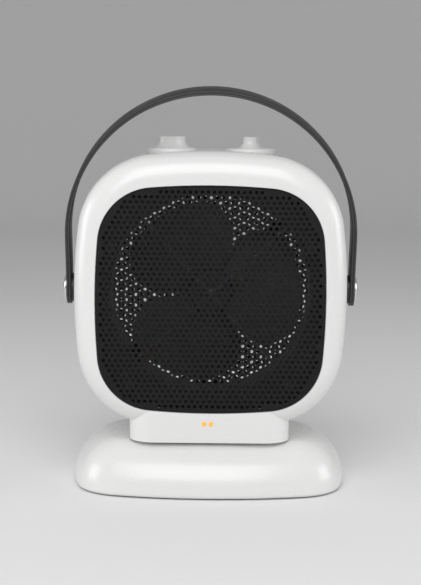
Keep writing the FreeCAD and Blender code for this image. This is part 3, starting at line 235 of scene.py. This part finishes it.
def plainFinish(name, v):
    finish, tree, shader, place = startFinish(name)
    dark = [c * v["shade"] for c in v["colour"]]
    patch = noiseNode(tree, place, v["patch"], surfaceValues["patchDetail"])
    grain = noiseNode(tree, place, v["grain"], surfaceValues["grainDetail"])
    tree.links.new(twoTones(tree, patch, dark, v["colour"]), shader.inputs["Base Color"])
    tree.links.new(between(tree, grain, *v["rough"]), shader.inputs["Roughness"])
    addBump(tree, shader, grain, v["bump"], surfaceValues["bumpDepth"])
    shader.inputs["Metallic"].default_value = v.get("metallic", 0.0)
    shader.inputs["Specular IOR Level"].default_value = v.get("specular", 0.5)
    shader.inputs["Coat Weight"].default_value = v.get("coat", 0.0)
    shader.inputs["Coat Roughness"].default_value = surfaceValues["coatRough"]
    return finish


leatherValues = {
    "colour": (0.016, 0.0155, 0.015),
    "worn": (0.026, 0.025, 0.0245),
    # painted highlight: a lighter tone on the strap's bulging edges, standing in for the light they
    # catch
    "highlightTone": (0.045, 0.044, 0.043),
    "pebble": 620.0,            # grain cells per metre
    "crease": 0.22,             # of a cell
    "wear": 38.0,
    "wearDetail": 5.0,
    "rough": (0.42, 0.6),
    "bump": 0.35,
    "bumpDepth": 0.0003,
}


def leatherFinish(v):
    finish, tree, shader, place = startFinish("strap_leather")
    cells = tree.nodes.new("ShaderNodeTexVoronoi")
    cells.feature = "DISTANCE_TO_EDGE"
    cells.inputs["Scale"].default_value = v["pebble"]
    tree.links.new(place.outputs["Object"], cells.inputs["Vector"])
    creases = between(tree, cells.outputs["Distance"], 0.0, 1.0, (0.0, v["crease"]))
    wear = noiseNode(tree, place, v["wear"], v["wearDetail"])
    face = twoTones(tree, wear, v["colour"], v["worn"])
    # Painted highlight: the bulging layer edges take the lighter tone, and the groove between them
    # keeps the face colour, so it reads as shade
    edge = tree.nodes.new("ShaderNodeAttribute")
    edge.attribute_name = "paintedEdgeHighlight"
    mix = tree.nodes.new("ShaderNodeMix")
    mix.data_type = "RGBA"
    mix.inputs["B"].default_value = (*v["highlightTone"], 1.0)
    tree.links.new(edge.outputs["Fac"], mix.inputs["Factor"])
    tree.links.new(face, mix.inputs["A"])
    tree.links.new(mix.outputs["Result"], shader.inputs["Base Color"])
    tree.links.new(between(tree, wear, *v["rough"]), shader.inputs["Roughness"])
    addBump(tree, shader, creases, v["bump"], v["bumpDepth"])
    return finish


lampValues = {
    "glow": (0.95, 0.30, 0.02),
    "core": (1.0, 0.44, 0.06),
    "strength": 0.47,
    "cloud": 420.0,
    "rough": (0.1, 0.2),
    "coat": 0.6,
}


def lampFinish(v):
    finish, tree, shader, place = startFinish("amber_lens")
    cloud = noiseNode(tree, place, v["cloud"])
    tint = twoTones(tree, cloud, v["glow"], v["core"])
    tree.links.new(tint, shader.inputs["Base Color"])
    tree.links.new(tint, shader.inputs["Emission Color"])
    shader.inputs["Emission Strength"].default_value = v["strength"]
    tree.links.new(between(tree, cloud, *v["rough"]), shader.inputs["Roughness"])
    shader.inputs["Coat Weight"].default_value = v["coat"]
    return finish


finishes = {name: plainFinish(name, v) for name, v in finishValues.items()}
finishes["strap_leather"] = leatherFinish(leatherValues)
finishes["amber_lens"] = lampFinish(lampValues)

for name, node in nodes.items():
    for place in node.material_slots:
        place.material = finishes[ownFinish.get(name, place.material.name.split(".")[0])]
print("finishes made:", len(finishes))


# Rounded-square outlines, the same eight arcs as the solids

class ArcOutline:
    def __init__(self, width, height, corner, crown):
        self.corner = corner
        self.halfU, self.halfV = width / 2, height / 2
        self.cu, self.cv = self.halfU - corner - crown, self.halfV - corner - crown
        self.sideTurn = 2 * math.atan(crown / self.cv)
        self.topTurn = 2 * math.atan(crown / self.cu)
        self.sideRadius = corner + self.cv / math.sin(self.sideTurn)
        self.topRadius = corner + self.cu / math.sin(self.topTurn)

    def quarter(self, steps):
        points = []
        for k in range(steps):
            a = self.sideTurn * k / steps
            points.append((self.halfU - self.sideRadius + self.sideRadius * math.cos(a),
                           self.sideRadius * math.sin(a)))
        last = math.pi / 2 - self.topTurn
        for k in range(3 * steps):
            a = self.sideTurn + (last - self.sideTurn) * k / (3 * steps)
            points.append((self.cu + self.corner * math.cos(a),
                           self.cv + self.corner * math.sin(a)))
        for k in range(steps):
            a = last + self.topTurn * k / steps
            points.append((self.topRadius * math.cos(a),
                           self.halfV - self.topRadius + self.topRadius * math.sin(a)))
        return points

    def loop(self, steps):
        right = self.quarter(steps)
        left = [(-u, v) for u, v in reversed(right)]
        upper = right + [(0.0, self.halfV)] + left
        lower = [(u, -v) for u, v in reversed(upper[1:-1])]
        return upper + lower

    def holds(self, u, v, inset):
        u, v = abs(u), abs(v)
        angle = math.atan2(v - self.cv, u - self.cu)
        if self.sideTurn <= angle <= math.pi / 2 - self.topTurn:
            return math.hypot(u - self.cu, v - self.cv) <= self.corner - inset
        side = math.hypot(u - self.halfU + self.sideRadius, v) <= self.sideRadius - inset
        top = math.hypot(u, v - self.halfV + self.topRadius) <= self.topRadius - inset
        return side and top


# Perforated grilles: an outline and hole centres go in, a pierced sheet comes out

grilleValues = {
    "outline": (194.6, 193.0, 48.0, 2.0),      # width, height, corner, crown
    "rimSteps": 14,
    "holeDia": 3.0,
    "holeSides": 16,
    "pitch": 5.0,
    "border": 2.5,
    "sheet": 1.0,
}


def perforationTree():
    tree, source, out = newTree("perforatedSheet", (
        ("Hole Diameter", "NodeSocketFloat", 0.003),
        ("Sheet", "NodeSocketFloat", 0.001),
        ("Hole Sides", "NodeSocketInt", 16),
        ("Place", "NodeSocketVector", None),
        ("Turn", "NodeSocketVector", None),
        ("Finish", "NodeSocketMaterial", None)))
    add, link = tree.nodes.new, tree.links.new
    isHole = add("GeometryNodeInputNamedAttribute")
    isHole.data_type = "BOOLEAN"
    isHole.inputs["Name"].default_value = "isHole"
    split = add("GeometryNodeSeparateGeometry")
    split.domain = "POINT"
    link(source.outputs["Geometry"], split.inputs["Geometry"])
    link(isHole.outputs["Attribute"], split.inputs["Selection"])
    half = add("ShaderNodeMath")
    half.operation = "MULTIPLY"
    half.inputs[1].default_value = 0.5
    link(source.outputs["Hole Diameter"], half.inputs[0])
    ring = add("GeometryNodeCurvePrimitiveCircle")
    link(source.outputs["Hole Sides"], ring.inputs["Resolution"])
    link(half.outputs["Value"], ring.inputs["Radius"])
    scatter = add("GeometryNodeInstanceOnPoints")
    link(split.outputs["Selection"], scatter.inputs["Points"])
    link(ring.outputs["Curve"], scatter.inputs["Instance"])
    rings = add("GeometryNodeRealizeInstances")
    link(scatter.outputs["Instances"], rings.inputs["Geometry"])
    rim = add("GeometryNodeMeshToCurve")
    link(split.outputs["Inverted"], rim.inputs["Mesh"])
    both = add("GeometryNodeJoinGeometry")
    link(rings.outputs["Geometry"], both.inputs["Geometry"])
    link(rim.outputs["Curve"], both.inputs["Geometry"])
    fill = add("GeometryNodeFillCurve")
    link(both.outputs["Geometry"], fill.inputs["Curve"])
    flip = add("GeometryNodeFlipFaces")
    link(fill.outputs["Mesh"], flip.inputs["Mesh"])
    lift = add("GeometryNodeExtrudeMesh")
    lift.inputs["Individual"].default_value = False
    link(fill.outputs["Mesh"], lift.inputs["Mesh"])
    link(source.outputs["Sheet"], lift.inputs["Offset Scale"])
    closed = add("GeometryNodeJoinGeometry")
    link(lift.outputs["Mesh"], closed.inputs["Geometry"])
    link(flip.outputs["Mesh"], closed.inputs["Geometry"])
    weld = add("GeometryNodeMergeByDistance")
    weld.inputs["Distance"].default_value = 0.001 * mm
    link(closed.outputs["Geometry"], weld.inputs["Geometry"])
    move = add("GeometryNodeTransform")
    link(weld.outputs["Geometry"], move.inputs["Geometry"])
    link(source.outputs["Place"], move.inputs["Translation"])
    link(source.outputs["Turn"], move.inputs["Rotation"])
    endTree(tree, move.outputs["Geometry"], source, out)
    return tree


def grilleSeed(v, uprightRows):
    outline = ArcOutline(*v["outline"])
    rim = outline.loop(v["rimSteps"])
    verts = [(u * mm, w * mm, 0.0) for u, w in rim]
    edges = [(k, (k + 1) % len(rim)) for k in range(len(rim))]
    rowPitch = v["pitch"] * math.sqrt(3) / 2
    keepIn = v["border"] + v["holeDia"] / 2
    reach = max(outline.halfU, outline.halfV)
    rows = int(reach / rowPitch)
    columns = int(reach / v["pitch"]) + 1
    for row in range(-rows, rows + 1):
        shift = v["pitch"] / 2 if row % 2 else 0.0
        for column in range(-columns, columns + 1):
            u, w = column * v["pitch"] + shift, row * rowPitch
            if uprightRows:
                u, w = w, u
            if outline.holds(u, w, keepIn):
                verts.append((u * mm, w * mm, 0.0))
    mesh = meshFrom("grilleSeed", verts, [], edges, smooth=False)
    mark = mesh.attributes.new("isHole", "BOOLEAN", "POINT")
    mark.data.foreach_set("value", [k >= len(rim) for k in range(len(verts))])
    return mesh


def makeGrille(name, node, v, turn, uprightRows):
    low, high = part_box(node)
    backY = high.y if turn > 0 else low.y
    piece = grow(name, grilleSeed(v, uprightRows), pierced, {
        "Hole Diameter": v["holeDia"] * mm, "Sheet": v["sheet"] * mm, "Hole Sides": v["holeSides"],
        "Place": (0.0, backY, (low.z + high.z) / 2), "Turn": (turn * math.pi / 2, 0.0, 0.0),
        "Finish": finishes["grille_black"]})
    settle(piece, "head", "grille_black", node)


pierced = perforationTree()
makeGrille("frontGrille", "front_grille", grilleValues, 1, False)
makeGrille("rearGrille", "rear_grille", grilleValues, -1, True)


# Strap: two leather layers swept along the handle's path, with a groove between them at the edges

strapValues = {
    "width": 27.0,
    "thick": 4.0,
    "footX": 124.0,             # mid thickness
    "tail": 14.5,               # below the pivot
    "straight": 13.0,
    "arch": 124.3,
    "rise": 50.3,
    "lean": 10.0,
    "endSteps": 12,
    "endReach": 0.95,           # how far round its tip the rounded end goes
    "bendSteps": 8,
    "archSteps": 60,
    "edge": (                   # inset, share of the half thickness, share of painted highlight, down to the groove
        (0.55, 1.0, 0.0), (0.12, 0.86, 0.5), (0.0, 0.55, 1.0), (0.1, 0.22, 0.7), (0.55, 0.0, 0.0)),
    "sharp": 50,                # degrees
}
axisZ = sum(corner.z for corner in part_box("motor_shaft")) / 2


def strapPath(v):
    half = v["width"] / 2
    splay, climb = v["arch"] - v["footX"], v["rise"] - v["straight"]
    bend = 2 * math.atan(splay / climb)
    radius = climb / (2 * math.sin(bend))
    ends, bends, steps = v["endSteps"], v["bendSteps"], v["archSteps"]
    side = []                   # (x, height, outward x, outward height, half width)
    for k in range(1, ends + 1):
        turn = math.pi / 2 * (1 - k / ends) * v["endReach"]
        side.append((v["footX"], half - v["tail"] - half * math.sin(turn),
                     1.0, 0.0, half * math.cos(turn)))
    side.append((v["footX"], v["straight"] / 2, 1.0, 0.0, half))
    for k in range(bends + 1):
        a = bend * k / bends
        side.append((v["footX"] + radius - radius * math.cos(a),
                     v["straight"] + radius * math.sin(a), math.cos(a), -math.sin(a), half))
    for k in range(1, bends + 1):
        a = bend * (k / bends - 1)
        side.append((v["arch"] - radius + radius * math.cos(a),
                     v["rise"] + radius * math.sin(a), math.cos(a), math.sin(a), half))
    for k in range(1, steps):
        a = math.pi / 2 * k / steps
        side.append((v["arch"] * math.cos(a), v["rise"] + v["arch"] * math.sin(a),
                     math.cos(a), math.sin(a), half))
    top = [(0.0, v["rise"] + v["arch"], 0.0, 1.0, half)]
    return side + top + [(-x, h, -nx, nh, w) for x, h, nx, nh, w in reversed(side)]


def strapSection(w, v):
    t, outer = v["thick"] / 2, v["edge"]
    inner = tuple((inset, -share, highlightShare) for inset, share, highlightShare in reversed(outer[:-1]))
    right = [(w - inset, share * t, highlightShare) for inset, share, highlightShare in outer + inner]
    left = [(-across, out, highlightShare) for across, out, highlightShare in reversed(right)]
    return right + left


def makeStrap(v):
    tilt = Matrix.Rotation(math.radians(v["lean"]), 4, "X")
    lean = Matrix.Translation((0, 0, axisZ)) @ tilt
    verts, faces, highlightShare = [], [], []
    path = strapPath(v)
    for x, h, nx, nh, w in path:
        for across, out, edge in strapSection(w, v):
            spot = Vector(((x + nx * out) * mm, across * mm, (h + nh * out) * mm))
            verts.append(lean @ spot)
            highlightShare.append(edge)
    size = len(verts) // len(path)
    for row in range(len(path) - 1):
        for k in range(size):
            a, b = row * size + k, row * size + (k + 1) % size
            faces.append((a, b, b + size, a + size))
    faces.append(tuple(range(size)))
    faces.append(tuple(range(len(verts) - size, len(verts))))
    mesh = meshFrom("leatherStrap", verts, faces)
    mesh.attributes.new("paintedEdgeHighlight", "FLOAT", "POINT").data.foreach_set("value", highlightShare)
    tidyNormals(mesh)
    sharpenByAngle(mesh, v["sharp"])
    mesh.materials.append(finishes["strap_leather"])
    settle(linkNew("leatherStrap", mesh), "handle", "strap_leather", "handle_strap")


makeStrap(strapValues)


# Wound wire: points of a helix go in, a closed round wire comes out

heaterValues = {
    "angle": 42.0,              # of the element, degrees
    "halfTurns": 11,
    "startRadius": 32.0,
    "growth": 4.0,              # a half turn
    "shift": 2.0,               # of the half turns' centres, left and right by turns
    "lead": 5.0,                # straight end up to a terminal
    "coilRadius": 0.85,
    "coilPitch": 2.2,
    "turnPoints": 8,
    "wireRadius": 0.24,
    "sides": 5,
}
windingValues = {
    "turns": 104,
    "turnPoints": 12,
    "ringWidth": 7.5,
    "ringDepth": 3.5,
    "inset": 0.42,
    "wireRadius": 0.42,
    "sides": 5,
}


def wireTree():
    tree, source, out = newTree("roundWire", (
        ("Wire Radius", "NodeSocketFloat", 0.0003),
        ("Sides", "NodeSocketInt", 5),
        ("Finish", "NodeSocketMaterial", None)))
    add, link = tree.nodes.new, tree.links.new
    line = add("GeometryNodeMeshToCurve")
    link(source.outputs["Geometry"], line.inputs["Mesh"])
    ring = add("GeometryNodeCurvePrimitiveCircle")
    link(source.outputs["Sides"], ring.inputs["Resolution"])
    link(source.outputs["Wire Radius"], ring.inputs["Radius"])
    wire = add("GeometryNodeCurveToMesh")
    wire.inputs["Fill Caps"].default_value = True
    link(line.outputs["Curve"], wire.inputs["Curve"])
    link(ring.outputs["Curve"], wire.inputs["Profile Curve"])
    smooth = add("GeometryNodeSetShadeSmooth")
    link(wire.outputs["Mesh"], smooth.inputs["Geometry"])
    endTree(tree, smooth.outputs["Geometry"], source, out)
    return tree


def heaterPath(v):
    leadPoints = int(v["lead"] / v["coilPitch"] * v["turnPoints"])
    first = v["startRadius"] - v["shift"]
    last = -v["shift"] - v["startRadius"] - v["growth"] * (v["halfTurns"] - 1)
    path = [(first, v["lead"] * (k / leadPoints - 1)) for k in range(leadPoints)]
    for half in range(v["halfTurns"]):
        radius = v["startRadius"] + v["growth"] * half
        middle = v["shift"] if half % 2 else -v["shift"]
        count = int(math.pi * radius / v["coilPitch"] * v["turnPoints"])
        for step in range(count):
            a = (half + step / count) * math.pi
            path.append((middle + radius * math.cos(a), radius * math.sin(a)))
    return path + [(last, -v["lead"] * k / leadPoints) for k in range(leadPoints + 1)]


def heaterSeed(v, planeY):
    path = [Vector(point) for point in heaterPath(v)]
    tilt = math.radians(v["angle"])
    verts = []
    for k, (u, w) in enumerate(path):
        along = (path[min(k + 1, len(path) - 1)] - path[max(k - 1, 0)]).normalized()
        turn = 2 * math.pi * k / v["turnPoints"]
        side, lift = v["coilRadius"] * math.cos(turn), v["coilRadius"] * math.sin(turn)
        pu, pw = u - along.y * side, w + along.x * side
        verts.append(((pu * math.cos(tilt) - pw * math.sin(tilt)) * mm, planeY + lift * mm,
                      axisZ + (pu * math.sin(tilt) + pw * math.cos(tilt)) * mm))
    edges = [(k, k + 1) for k in range(len(verts) - 1)]
    return meshFrom("heaterSeed", verts, [], edges, smooth=False)


def windingSeed(v, node):
    low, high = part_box(node)
    outer = (high.x - low.x) / 2
    width, depth, inset = v["ringWidth"] * mm, v["ringDepth"] * mm, v["inset"] * mm
    middle = outer - width / 2
    halfR, halfY = width / 2 - inset, depth / 2 - inset
    verts, edges = [], []
    for ringY in (low.y + depth / 2, high.y - depth / 2):
        start, steps = len(verts), v["turns"] * v["turnPoints"]
        for k in range(steps):
            a, b = 2 * math.pi * k / steps, 2 * math.pi * k / v["turnPoints"]
            r = middle + halfR * math.cos(b)
            verts.append((r * math.cos(a), ringY + halfY * math.sin(b), axisZ + r * math.sin(a)))
            edges.append((start + k, start + (k + 1) % steps))
    return meshFrom("windingSeed", verts, [], edges, smooth=False)


def makeWire(name, seed, v, body, slot, node):
    piece = grow(name, seed, roundWire, {
        "Wire Radius": v["wireRadius"] * mm, "Sides": v["sides"], "Finish": finishes[slot]})
    settle(piece, body, slot, node)


roundWire = wireTree()
coilY = sum(corner.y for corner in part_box("heating_coil")) / 2
makeWire("heaterCoil", heaterSeed(heaterValues, coilY), heaterValues,
         "head", "coil_wire", "heating_coil")
makeWire("copperWindings", windingSeed(windingValues, "stator_windings"), windingValues,
         "head", "copper", "stator_windings")


# Small things set in place: an object goes in with points that hold a facing and a size

def setTree():
    tree, source, out = newTree("setInPlace", (
        ("Shape", "NodeSocketObject", None),
        ("Finish", "NodeSocketMaterial", None)))
    add, link = tree.nodes.new, tree.links.new
    shape = add("GeometryNodeObjectInfo")
    link(source.outputs["Shape"], shape.inputs["Object"])
    facing = add("GeometryNodeInputNamedAttribute")
    facing.data_type = "FLOAT_VECTOR"
    facing.inputs["Name"].default_value = "facing"
    size = add("GeometryNodeInputNamedAttribute")
    size.data_type = "FLOAT"
    size.inputs["Name"].default_value = "size"
    face = add("FunctionNodeAlignRotationToVector")
    face.axis = "Z"
    link(facing.outputs["Attribute"], face.inputs["Vector"])
    place = add("GeometryNodeInstanceOnPoints")
    link(source.outputs["Geometry"], place.inputs["Points"])
    link(shape.outputs["Geometry"], place.inputs["Instance"])
    link(face.outputs["Rotation"], place.inputs["Rotation"])
    link(size.outputs["Attribute"], place.inputs["Scale"])
    endTree(tree, place.outputs["Instances"], source, out)
    return tree


def setSeed(marks):
    mesh = meshFrom("setSeed", [spot for spot, way, size in marks], [], smooth=False)
    facing = mesh.attributes.new("facing", "FLOAT_VECTOR", "POINT")
    facing.data.foreach_set("vector", [c for spot, way, size in marks for c in way])
    scale = mesh.attributes.new("size", "FLOAT", "POINT")
    scale.data.foreach_set("value", [size for spot, way, size in marks])
    return mesh


def setPieces(name, marks, shapeMesh, body, slot, finish, *stoodFor):
    shape = linkNew(name + "Shape", shapeMesh)
    piece = grow(name, setSeed(marks), inPlace, {"Shape": shape, "Finish": finishes[finish]})
    bpy.data.objects.remove(shape)
    settle(piece, body, slot, *stoodFor)


inPlace = setTree()


# Cross-head screws, behind the head and under the base

screwValues = {
    "head": 5.6,
    "headHeight": 1.8,
    "chamfer": 0.5,
    "shank": 2.9,
    "taper": 1.2,
    "tipRadius": 0.12,
    "recess": 1.5,              # half span of the cross
    "slotHalf": 0.42,
    "recessDepth": 0.9,
    "recessNarrow": 0.75,       # its floor against its rim
    "sides": 24,
    "sharp": 35,                # degrees
}


def screwMesh(v, length):
    work = bmesh.new()
    turns = [2 * math.pi * k / v["sides"] for k in range(v["sides"])]

    def loop(radius, z):
        return [work.verts.new((radius * math.cos(a) * mm, radius * math.sin(a) * mm, z * mm))
                for a in turns]

    def skin(lower, upper):
        for k in range(len(lower)):
            n = (k + 1) % len(lower)
            work.faces.new((lower[k], lower[n], upper[n], upper[k]))

    head, shank, top = v["head"] / 2, v["shank"] / 2, v["headHeight"]
    loops = [loop(v["tipRadius"], -length), loop(shank, v["taper"] - length), loop(shank, 0.0),
             loop(head, 0.0), loop(head, top - v["chamfer"]), loop(head - v["chamfer"], top)]
    for lower, upper in zip(loops, loops[1:]):
        skin(lower, upper)
    work.faces.new(list(reversed(loops[0])))
    r, s = v["recess"], v["slotHalf"]
    plus = ((r, s), (s, s), (s, r), (-s, r), (-s, s), (-r, s),
            (-r, -s), (-s, -s), (-s, -r), (s, -r), (s, -s), (r, -s))
    narrow, bottom = v["recessNarrow"], top - v["recessDepth"]
    rim = [work.verts.new((x * mm, y * mm, top * mm)) for x, y in plus]
    floor = [work.verts.new((x * narrow * mm, y * narrow * mm, bottom * mm)) for x, y in plus]
    skin(rim, floor)
    work.faces.new(floor)
    border = [edge for edge in work.edges if edge.is_boundary]
    bmesh.ops.triangle_fill(work, use_beauty=True, use_dissolve=False, edges=border,
                            normal=(0, 0, 1))
    bmesh.ops.recalc_face_normals(work, faces=work.faces)
    mesh = bpy.data.meshes.new("screw")
    work.to_mesh(mesh)
    work.free()
    sharpenByAngle(mesh, v["sharp"])
    return mesh


def makeScrews(name, node, body, facesBack, v):
    low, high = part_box(node)
    centre, half = (low + high) / 2, (high - low) / 2
    rim, tall = v["head"] / 2 * mm, v["headHeight"] * mm
    marks = []
    for su in (-1, 1):
        for sv in (-1, 1):
            x = centre.x + su * (half.x - rim)
            if facesBack:
                spot, way = (x, high.y - tall, centre.z + sv * (half.z - rim)), Vector((0, 1, 0))
            else:
                spot, way = (x, centre.y + sv * (half.y - rim), low.z + tall), Vector((0, 0, -1))
            marks.append((spot, way, 1.0))
    length = (high.y - low.y if facesBack else high.z - low.z) / mm - v["headHeight"]
    setPieces(name, marks, screwMesh(v, length), body, "steel", "steel", node)


makeScrews("coverScrews", "rear_cover_screws", "head", True, screwValues)
makeScrews("baseScrews", "base_screws", "base", False, screwValues)


# Domed rivets over the strap's pivots, hollow over the screws

rivetValues = {
    "sides": 48,
    "sharp": 50,                # degrees
    "profile": (                # radius and height, from the hollow's middle to the top of the dome
        (0.0, 1.7), (6.9, 1.7), (6.9, 0.0), (11.2, 0.0), (11.4, 0.5), (11.35, 1.1),
        (11.0, 1.75), (10.2, 2.35), (8.6, 2.9), (6.0, 3.35), (3.0, 3.62), (0.0, 3.7)),
}


def rivetMesh(v):
    sides, profile = v["sides"], v["profile"]
    verts = [(0.0, 0.0, profile[0][1] * mm)]
    for radius, height in profile[1:-1]:
        for k in range(sides):
            a = 2 * math.pi * k / sides
            verts.append((radius * math.cos(a) * mm, radius * math.sin(a) * mm, height * mm))
    verts.append((0.0, 0.0, profile[-1][1] * mm))
    faces, last = [], len(verts) - 1
    for k in range(sides):
        n = (k + 1) % sides
        faces += [(0, 1 + k, 1 + n), (last, last - sides + n, last - sides + k)]
        for row in range(len(profile) - 3):
            start = 1 + row * sides
            faces.append((start + k, start + k + sides, start + n + sides, start + n))
    mesh = meshFrom("rivet", verts, faces)
    tidyNormals(mesh)
    sharpenByAngle(mesh, v["sharp"])
    return mesh


def makeRivets(v):
    low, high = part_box("rivet_caps")
    height = v["profile"][-1][1] * mm
    marks = [((high.x - height, 0.0, axisZ), Vector((1, 0, 0)), 1.0),
             ((low.x + height, 0.0, axisZ), Vector((-1, 0, 0)), 1.0)]
    setPieces("strapRivets", marks, rivetMesh(v), "handle",
              "rivet_metal", "rivet_metal", "rivet_caps")


makeRivets(rivetValues)


# Dial marks printed on the head, and pointer lines on the grips

markValues = {
    "dotRadius": 0.62,
    "dotSides": 14,
    "proud": 0.12,
    "smallest": 0.75,           # size of the first dot
    "growth": 0.07,             # from dot to dot, on the warmth dial
    "circle": 27.6,             # round each dial
    "modeTurns": (-60.0, -20.0, 20.0, 60.0),
    "warmTurns": tuple(-75.0 + 15.0 * k for k in range(11)),
}
headOutline = (232.8, 237.2, 69.2, 2.7)        # width, height, corner, crown
pointerValues = {
    "length": 7.0,
    "width": 1.1,
    "proud": 0.12,
    "fromEnd": 1.8,
    "gripHalf": 12.0,
    "modeTurn": 60.0,           # the grips' own turns, degrees
    "warmTurn": -8.0,
}


def headTop(x):
    outline = ArcOutline(*headOutline)
    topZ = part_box("front_housing")[1].z / mm
    if abs(x) < outline.topRadius * math.sin(outline.topTurn):
        z = topZ - outline.topRadius + math.sqrt(outline.topRadius ** 2 - x * x)
        centre = Vector((0, 0, topZ - outline.topRadius))
    else:
        middle = math.copysign(outline.cu, x)
        centreZ = topZ - outline.halfV + outline.cv
        z = centreZ + math.sqrt(outline.corner ** 2 - (x - middle) ** 2)
        centre = Vector((middle, 0, centreZ))
    return z, (Vector((x, 0, z)) - centre).normalized()


def dotMesh(v):
    count, radius, proud = v["dotSides"], v["dotRadius"], v["proud"] * mm
    turns = [2 * math.pi * k / count for k in range(count)]
    ring = [(radius * math.cos(a) * mm, radius * math.sin(a) * mm) for a in turns]
    verts = [(x, y, -proud) for x, y in ring] + [(x, y, proud) for x, y in ring]
    faces = [tuple(reversed(range(count))), tuple(range(count, 2 * count))]
    faces += [(k, (k + 1) % count, (k + 1) % count + count, k + count) for k in range(count)]
    return meshFrom("dot", verts, faces, smooth=False)


def barMesh(name, v):
    halfX, halfY, halfZ = v["width"] / 2 * mm, v["length"] / 2 * mm, v["proud"] * mm
    verts = [(x, y, z) for z in (-halfZ, halfZ) for y in (-halfY, halfY) for x in (-halfX, halfX)]
    faces = [(0, 2, 3, 1), (4, 5, 7, 6), (0, 1, 5, 4), (2, 6, 7, 3), (0, 4, 6, 2), (1, 3, 7, 5)]
    return meshFrom(name, verts, faces, smooth=False)


def makeMarks(v):
    marks = []
    rows = (("mode_knob", v["modeTurns"], 0.0), ("thermostat_knob", v["warmTurns"], v["growth"]))
    for node, turns, growth in rows:
        low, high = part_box(node)
        middle = (low + high) / 2
        for k, turn in enumerate(turns):
            a = math.radians(turn - 90)
            x = middle.x / mm + v["circle"] * math.cos(a)
            z, facing = headTop(x)
            spot = (x * mm, middle.y + v["circle"] * math.sin(a) * mm, z * mm)
            marks.append((spot, facing, v["smallest"] + growth * k))
    setPieces("dialDots", marks, dotMesh(v), "head", "grey_plastic", "print_grey")


def makePointer(name, node, body, turn, v):
    low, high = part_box(node)
    middle = (low + high) / 2
    mesh = barMesh(name, v)
    shift = Matrix.Translation((0, (v["fromEnd"] + v["length"] / 2 - v["gripHalf"]) * mm, 0))
    spin = Matrix.Rotation(math.radians(turn), 4, "Z")
    mesh.transform(Matrix.Translation((middle.x, middle.y, high.z)) @ spin @ shift)
    mesh.materials.append(finishes["print_grey"])
    settle(linkNew(name, mesh), body, "grey_plastic")


makeMarks(markValues)
makePointer("modePointer", "mode_knob", "mode_dial", pointerValues["modeTurn"], pointerValues)
makePointer("warmPointer", "thermostat_knob", "thermostat_dial", pointerValues["warmTurn"],
            pointerValues)


# Stage: a round pale sweep, soft boxes and an even sky

sweepValues = {
    "floorInner": 0.6,
    "floorRadius": 3.0,
    "sweepRadius": 1.2,
    "wallTop": 2.6,
    "sides": 96,
    "bends": 12,
    "tone": (0.88, 0.88, 0.88),
    "shade": 0.985,
    "cloud": 1.2,
    "rough": 0.9,
    "specular": 0.1,
}
skyStrength = 0.345
softBoxes = {                   # spread in degrees keeps the floor round the boxes from glaring
    "keyBox": {"place": (-0.12, -1.55, 1.38), "aim": (0.0, 0.0, 0.14), "size": 1.6,
               "spread": 150.0, "power": 18.4},
    "leftBox": {"place": (-1.8, -0.1, 0.5), "aim": (0.0, 0.0, 0.12), "size": 0.9,
                "spread": 120.0, "power": 3.6},
    "rightBox": {"place": (1.8, -0.05, 0.55), "aim": (0.0, 0.0, 0.12), "size": 0.9,
                 "spread": 120.0, "power": 3.4},
}


def paleFinish(v):
    finish, tree, shader, place = startFinish("paleSweep")
    cloud = noiseNode(tree, place, v["cloud"])
    tones = twoTones(tree, cloud, [c * v["shade"] for c in v["tone"]], v["tone"])
    tree.links.new(tones, shader.inputs["Base Color"])
    shader.inputs["Roughness"].default_value = v["rough"]
    shader.inputs["Specular IOR Level"].default_value = v["specular"]
    return finish


def addSweep(v):
    sides, curve = v["sides"], v["sweepRadius"]
    profile = [(v["floorInner"], 0.0), (v["floorRadius"], 0.0)]
    for k in range(1, v["bends"] + 1):
        a = math.pi / 2 * k / v["bends"]
        profile.append((v["floorRadius"] + curve * math.sin(a), curve * (1 - math.cos(a))))
    profile.append((v["floorRadius"] + curve, v["wallTop"]))
    verts, faces = [(0.0, 0.0, 0.0)], []
    for radius, height in profile:
        for k in range(sides):
            a = 2 * math.pi * k / sides
            verts.append((radius * math.cos(a), radius * math.sin(a), height))
    for k in range(sides):
        faces.append((0, 1 + k, 1 + (k + 1) % sides))
    for row in range(len(profile) - 1):
        for k in range(sides):
            a, b = 1 + row * sides + k, 1 + row * sides + (k + 1) % sides
            faces.append((a, a + sides, b + sides, b))
    sweep = linkNew("paleSweep", meshFrom("paleSweep", verts, faces))
    sweep.data.materials.append(paleFinish(v))


def addSky(strength):
    world = bpy.data.worlds.new("studioSky")
    bpy.context.scene.world = world
    world.use_nodes = True
    sky = world.node_tree.nodes["Background"]
    sky.inputs["Color"].default_value = (1.0, 1.0, 1.0, 1.0)
    sky.inputs["Strength"].default_value = strength


def addSoftBox(name, v):
    lamp = bpy.data.lights.new(name, "AREA")
    lamp.shape = "SQUARE"
    lamp.size = v["size"]
    lamp.spread = math.radians(v["spread"])
    lamp.energy = v["power"]
    holder = linkNew(name, lamp)
    holder.location = v["place"]
    beam = Vector(v["aim"]) - Vector(v["place"])
    holder.rotation_euler = beam.to_track_quat("-Z", "Y").to_euler()


addSweep(sweepValues)
addSky(skyStrength)
for name, values in softBoxes.items():
    addSoftBox(name, values)
bpy.context.scene.view_settings.view_transform = "Standard"
print("stage set")


bpy.context.view_layer.update()
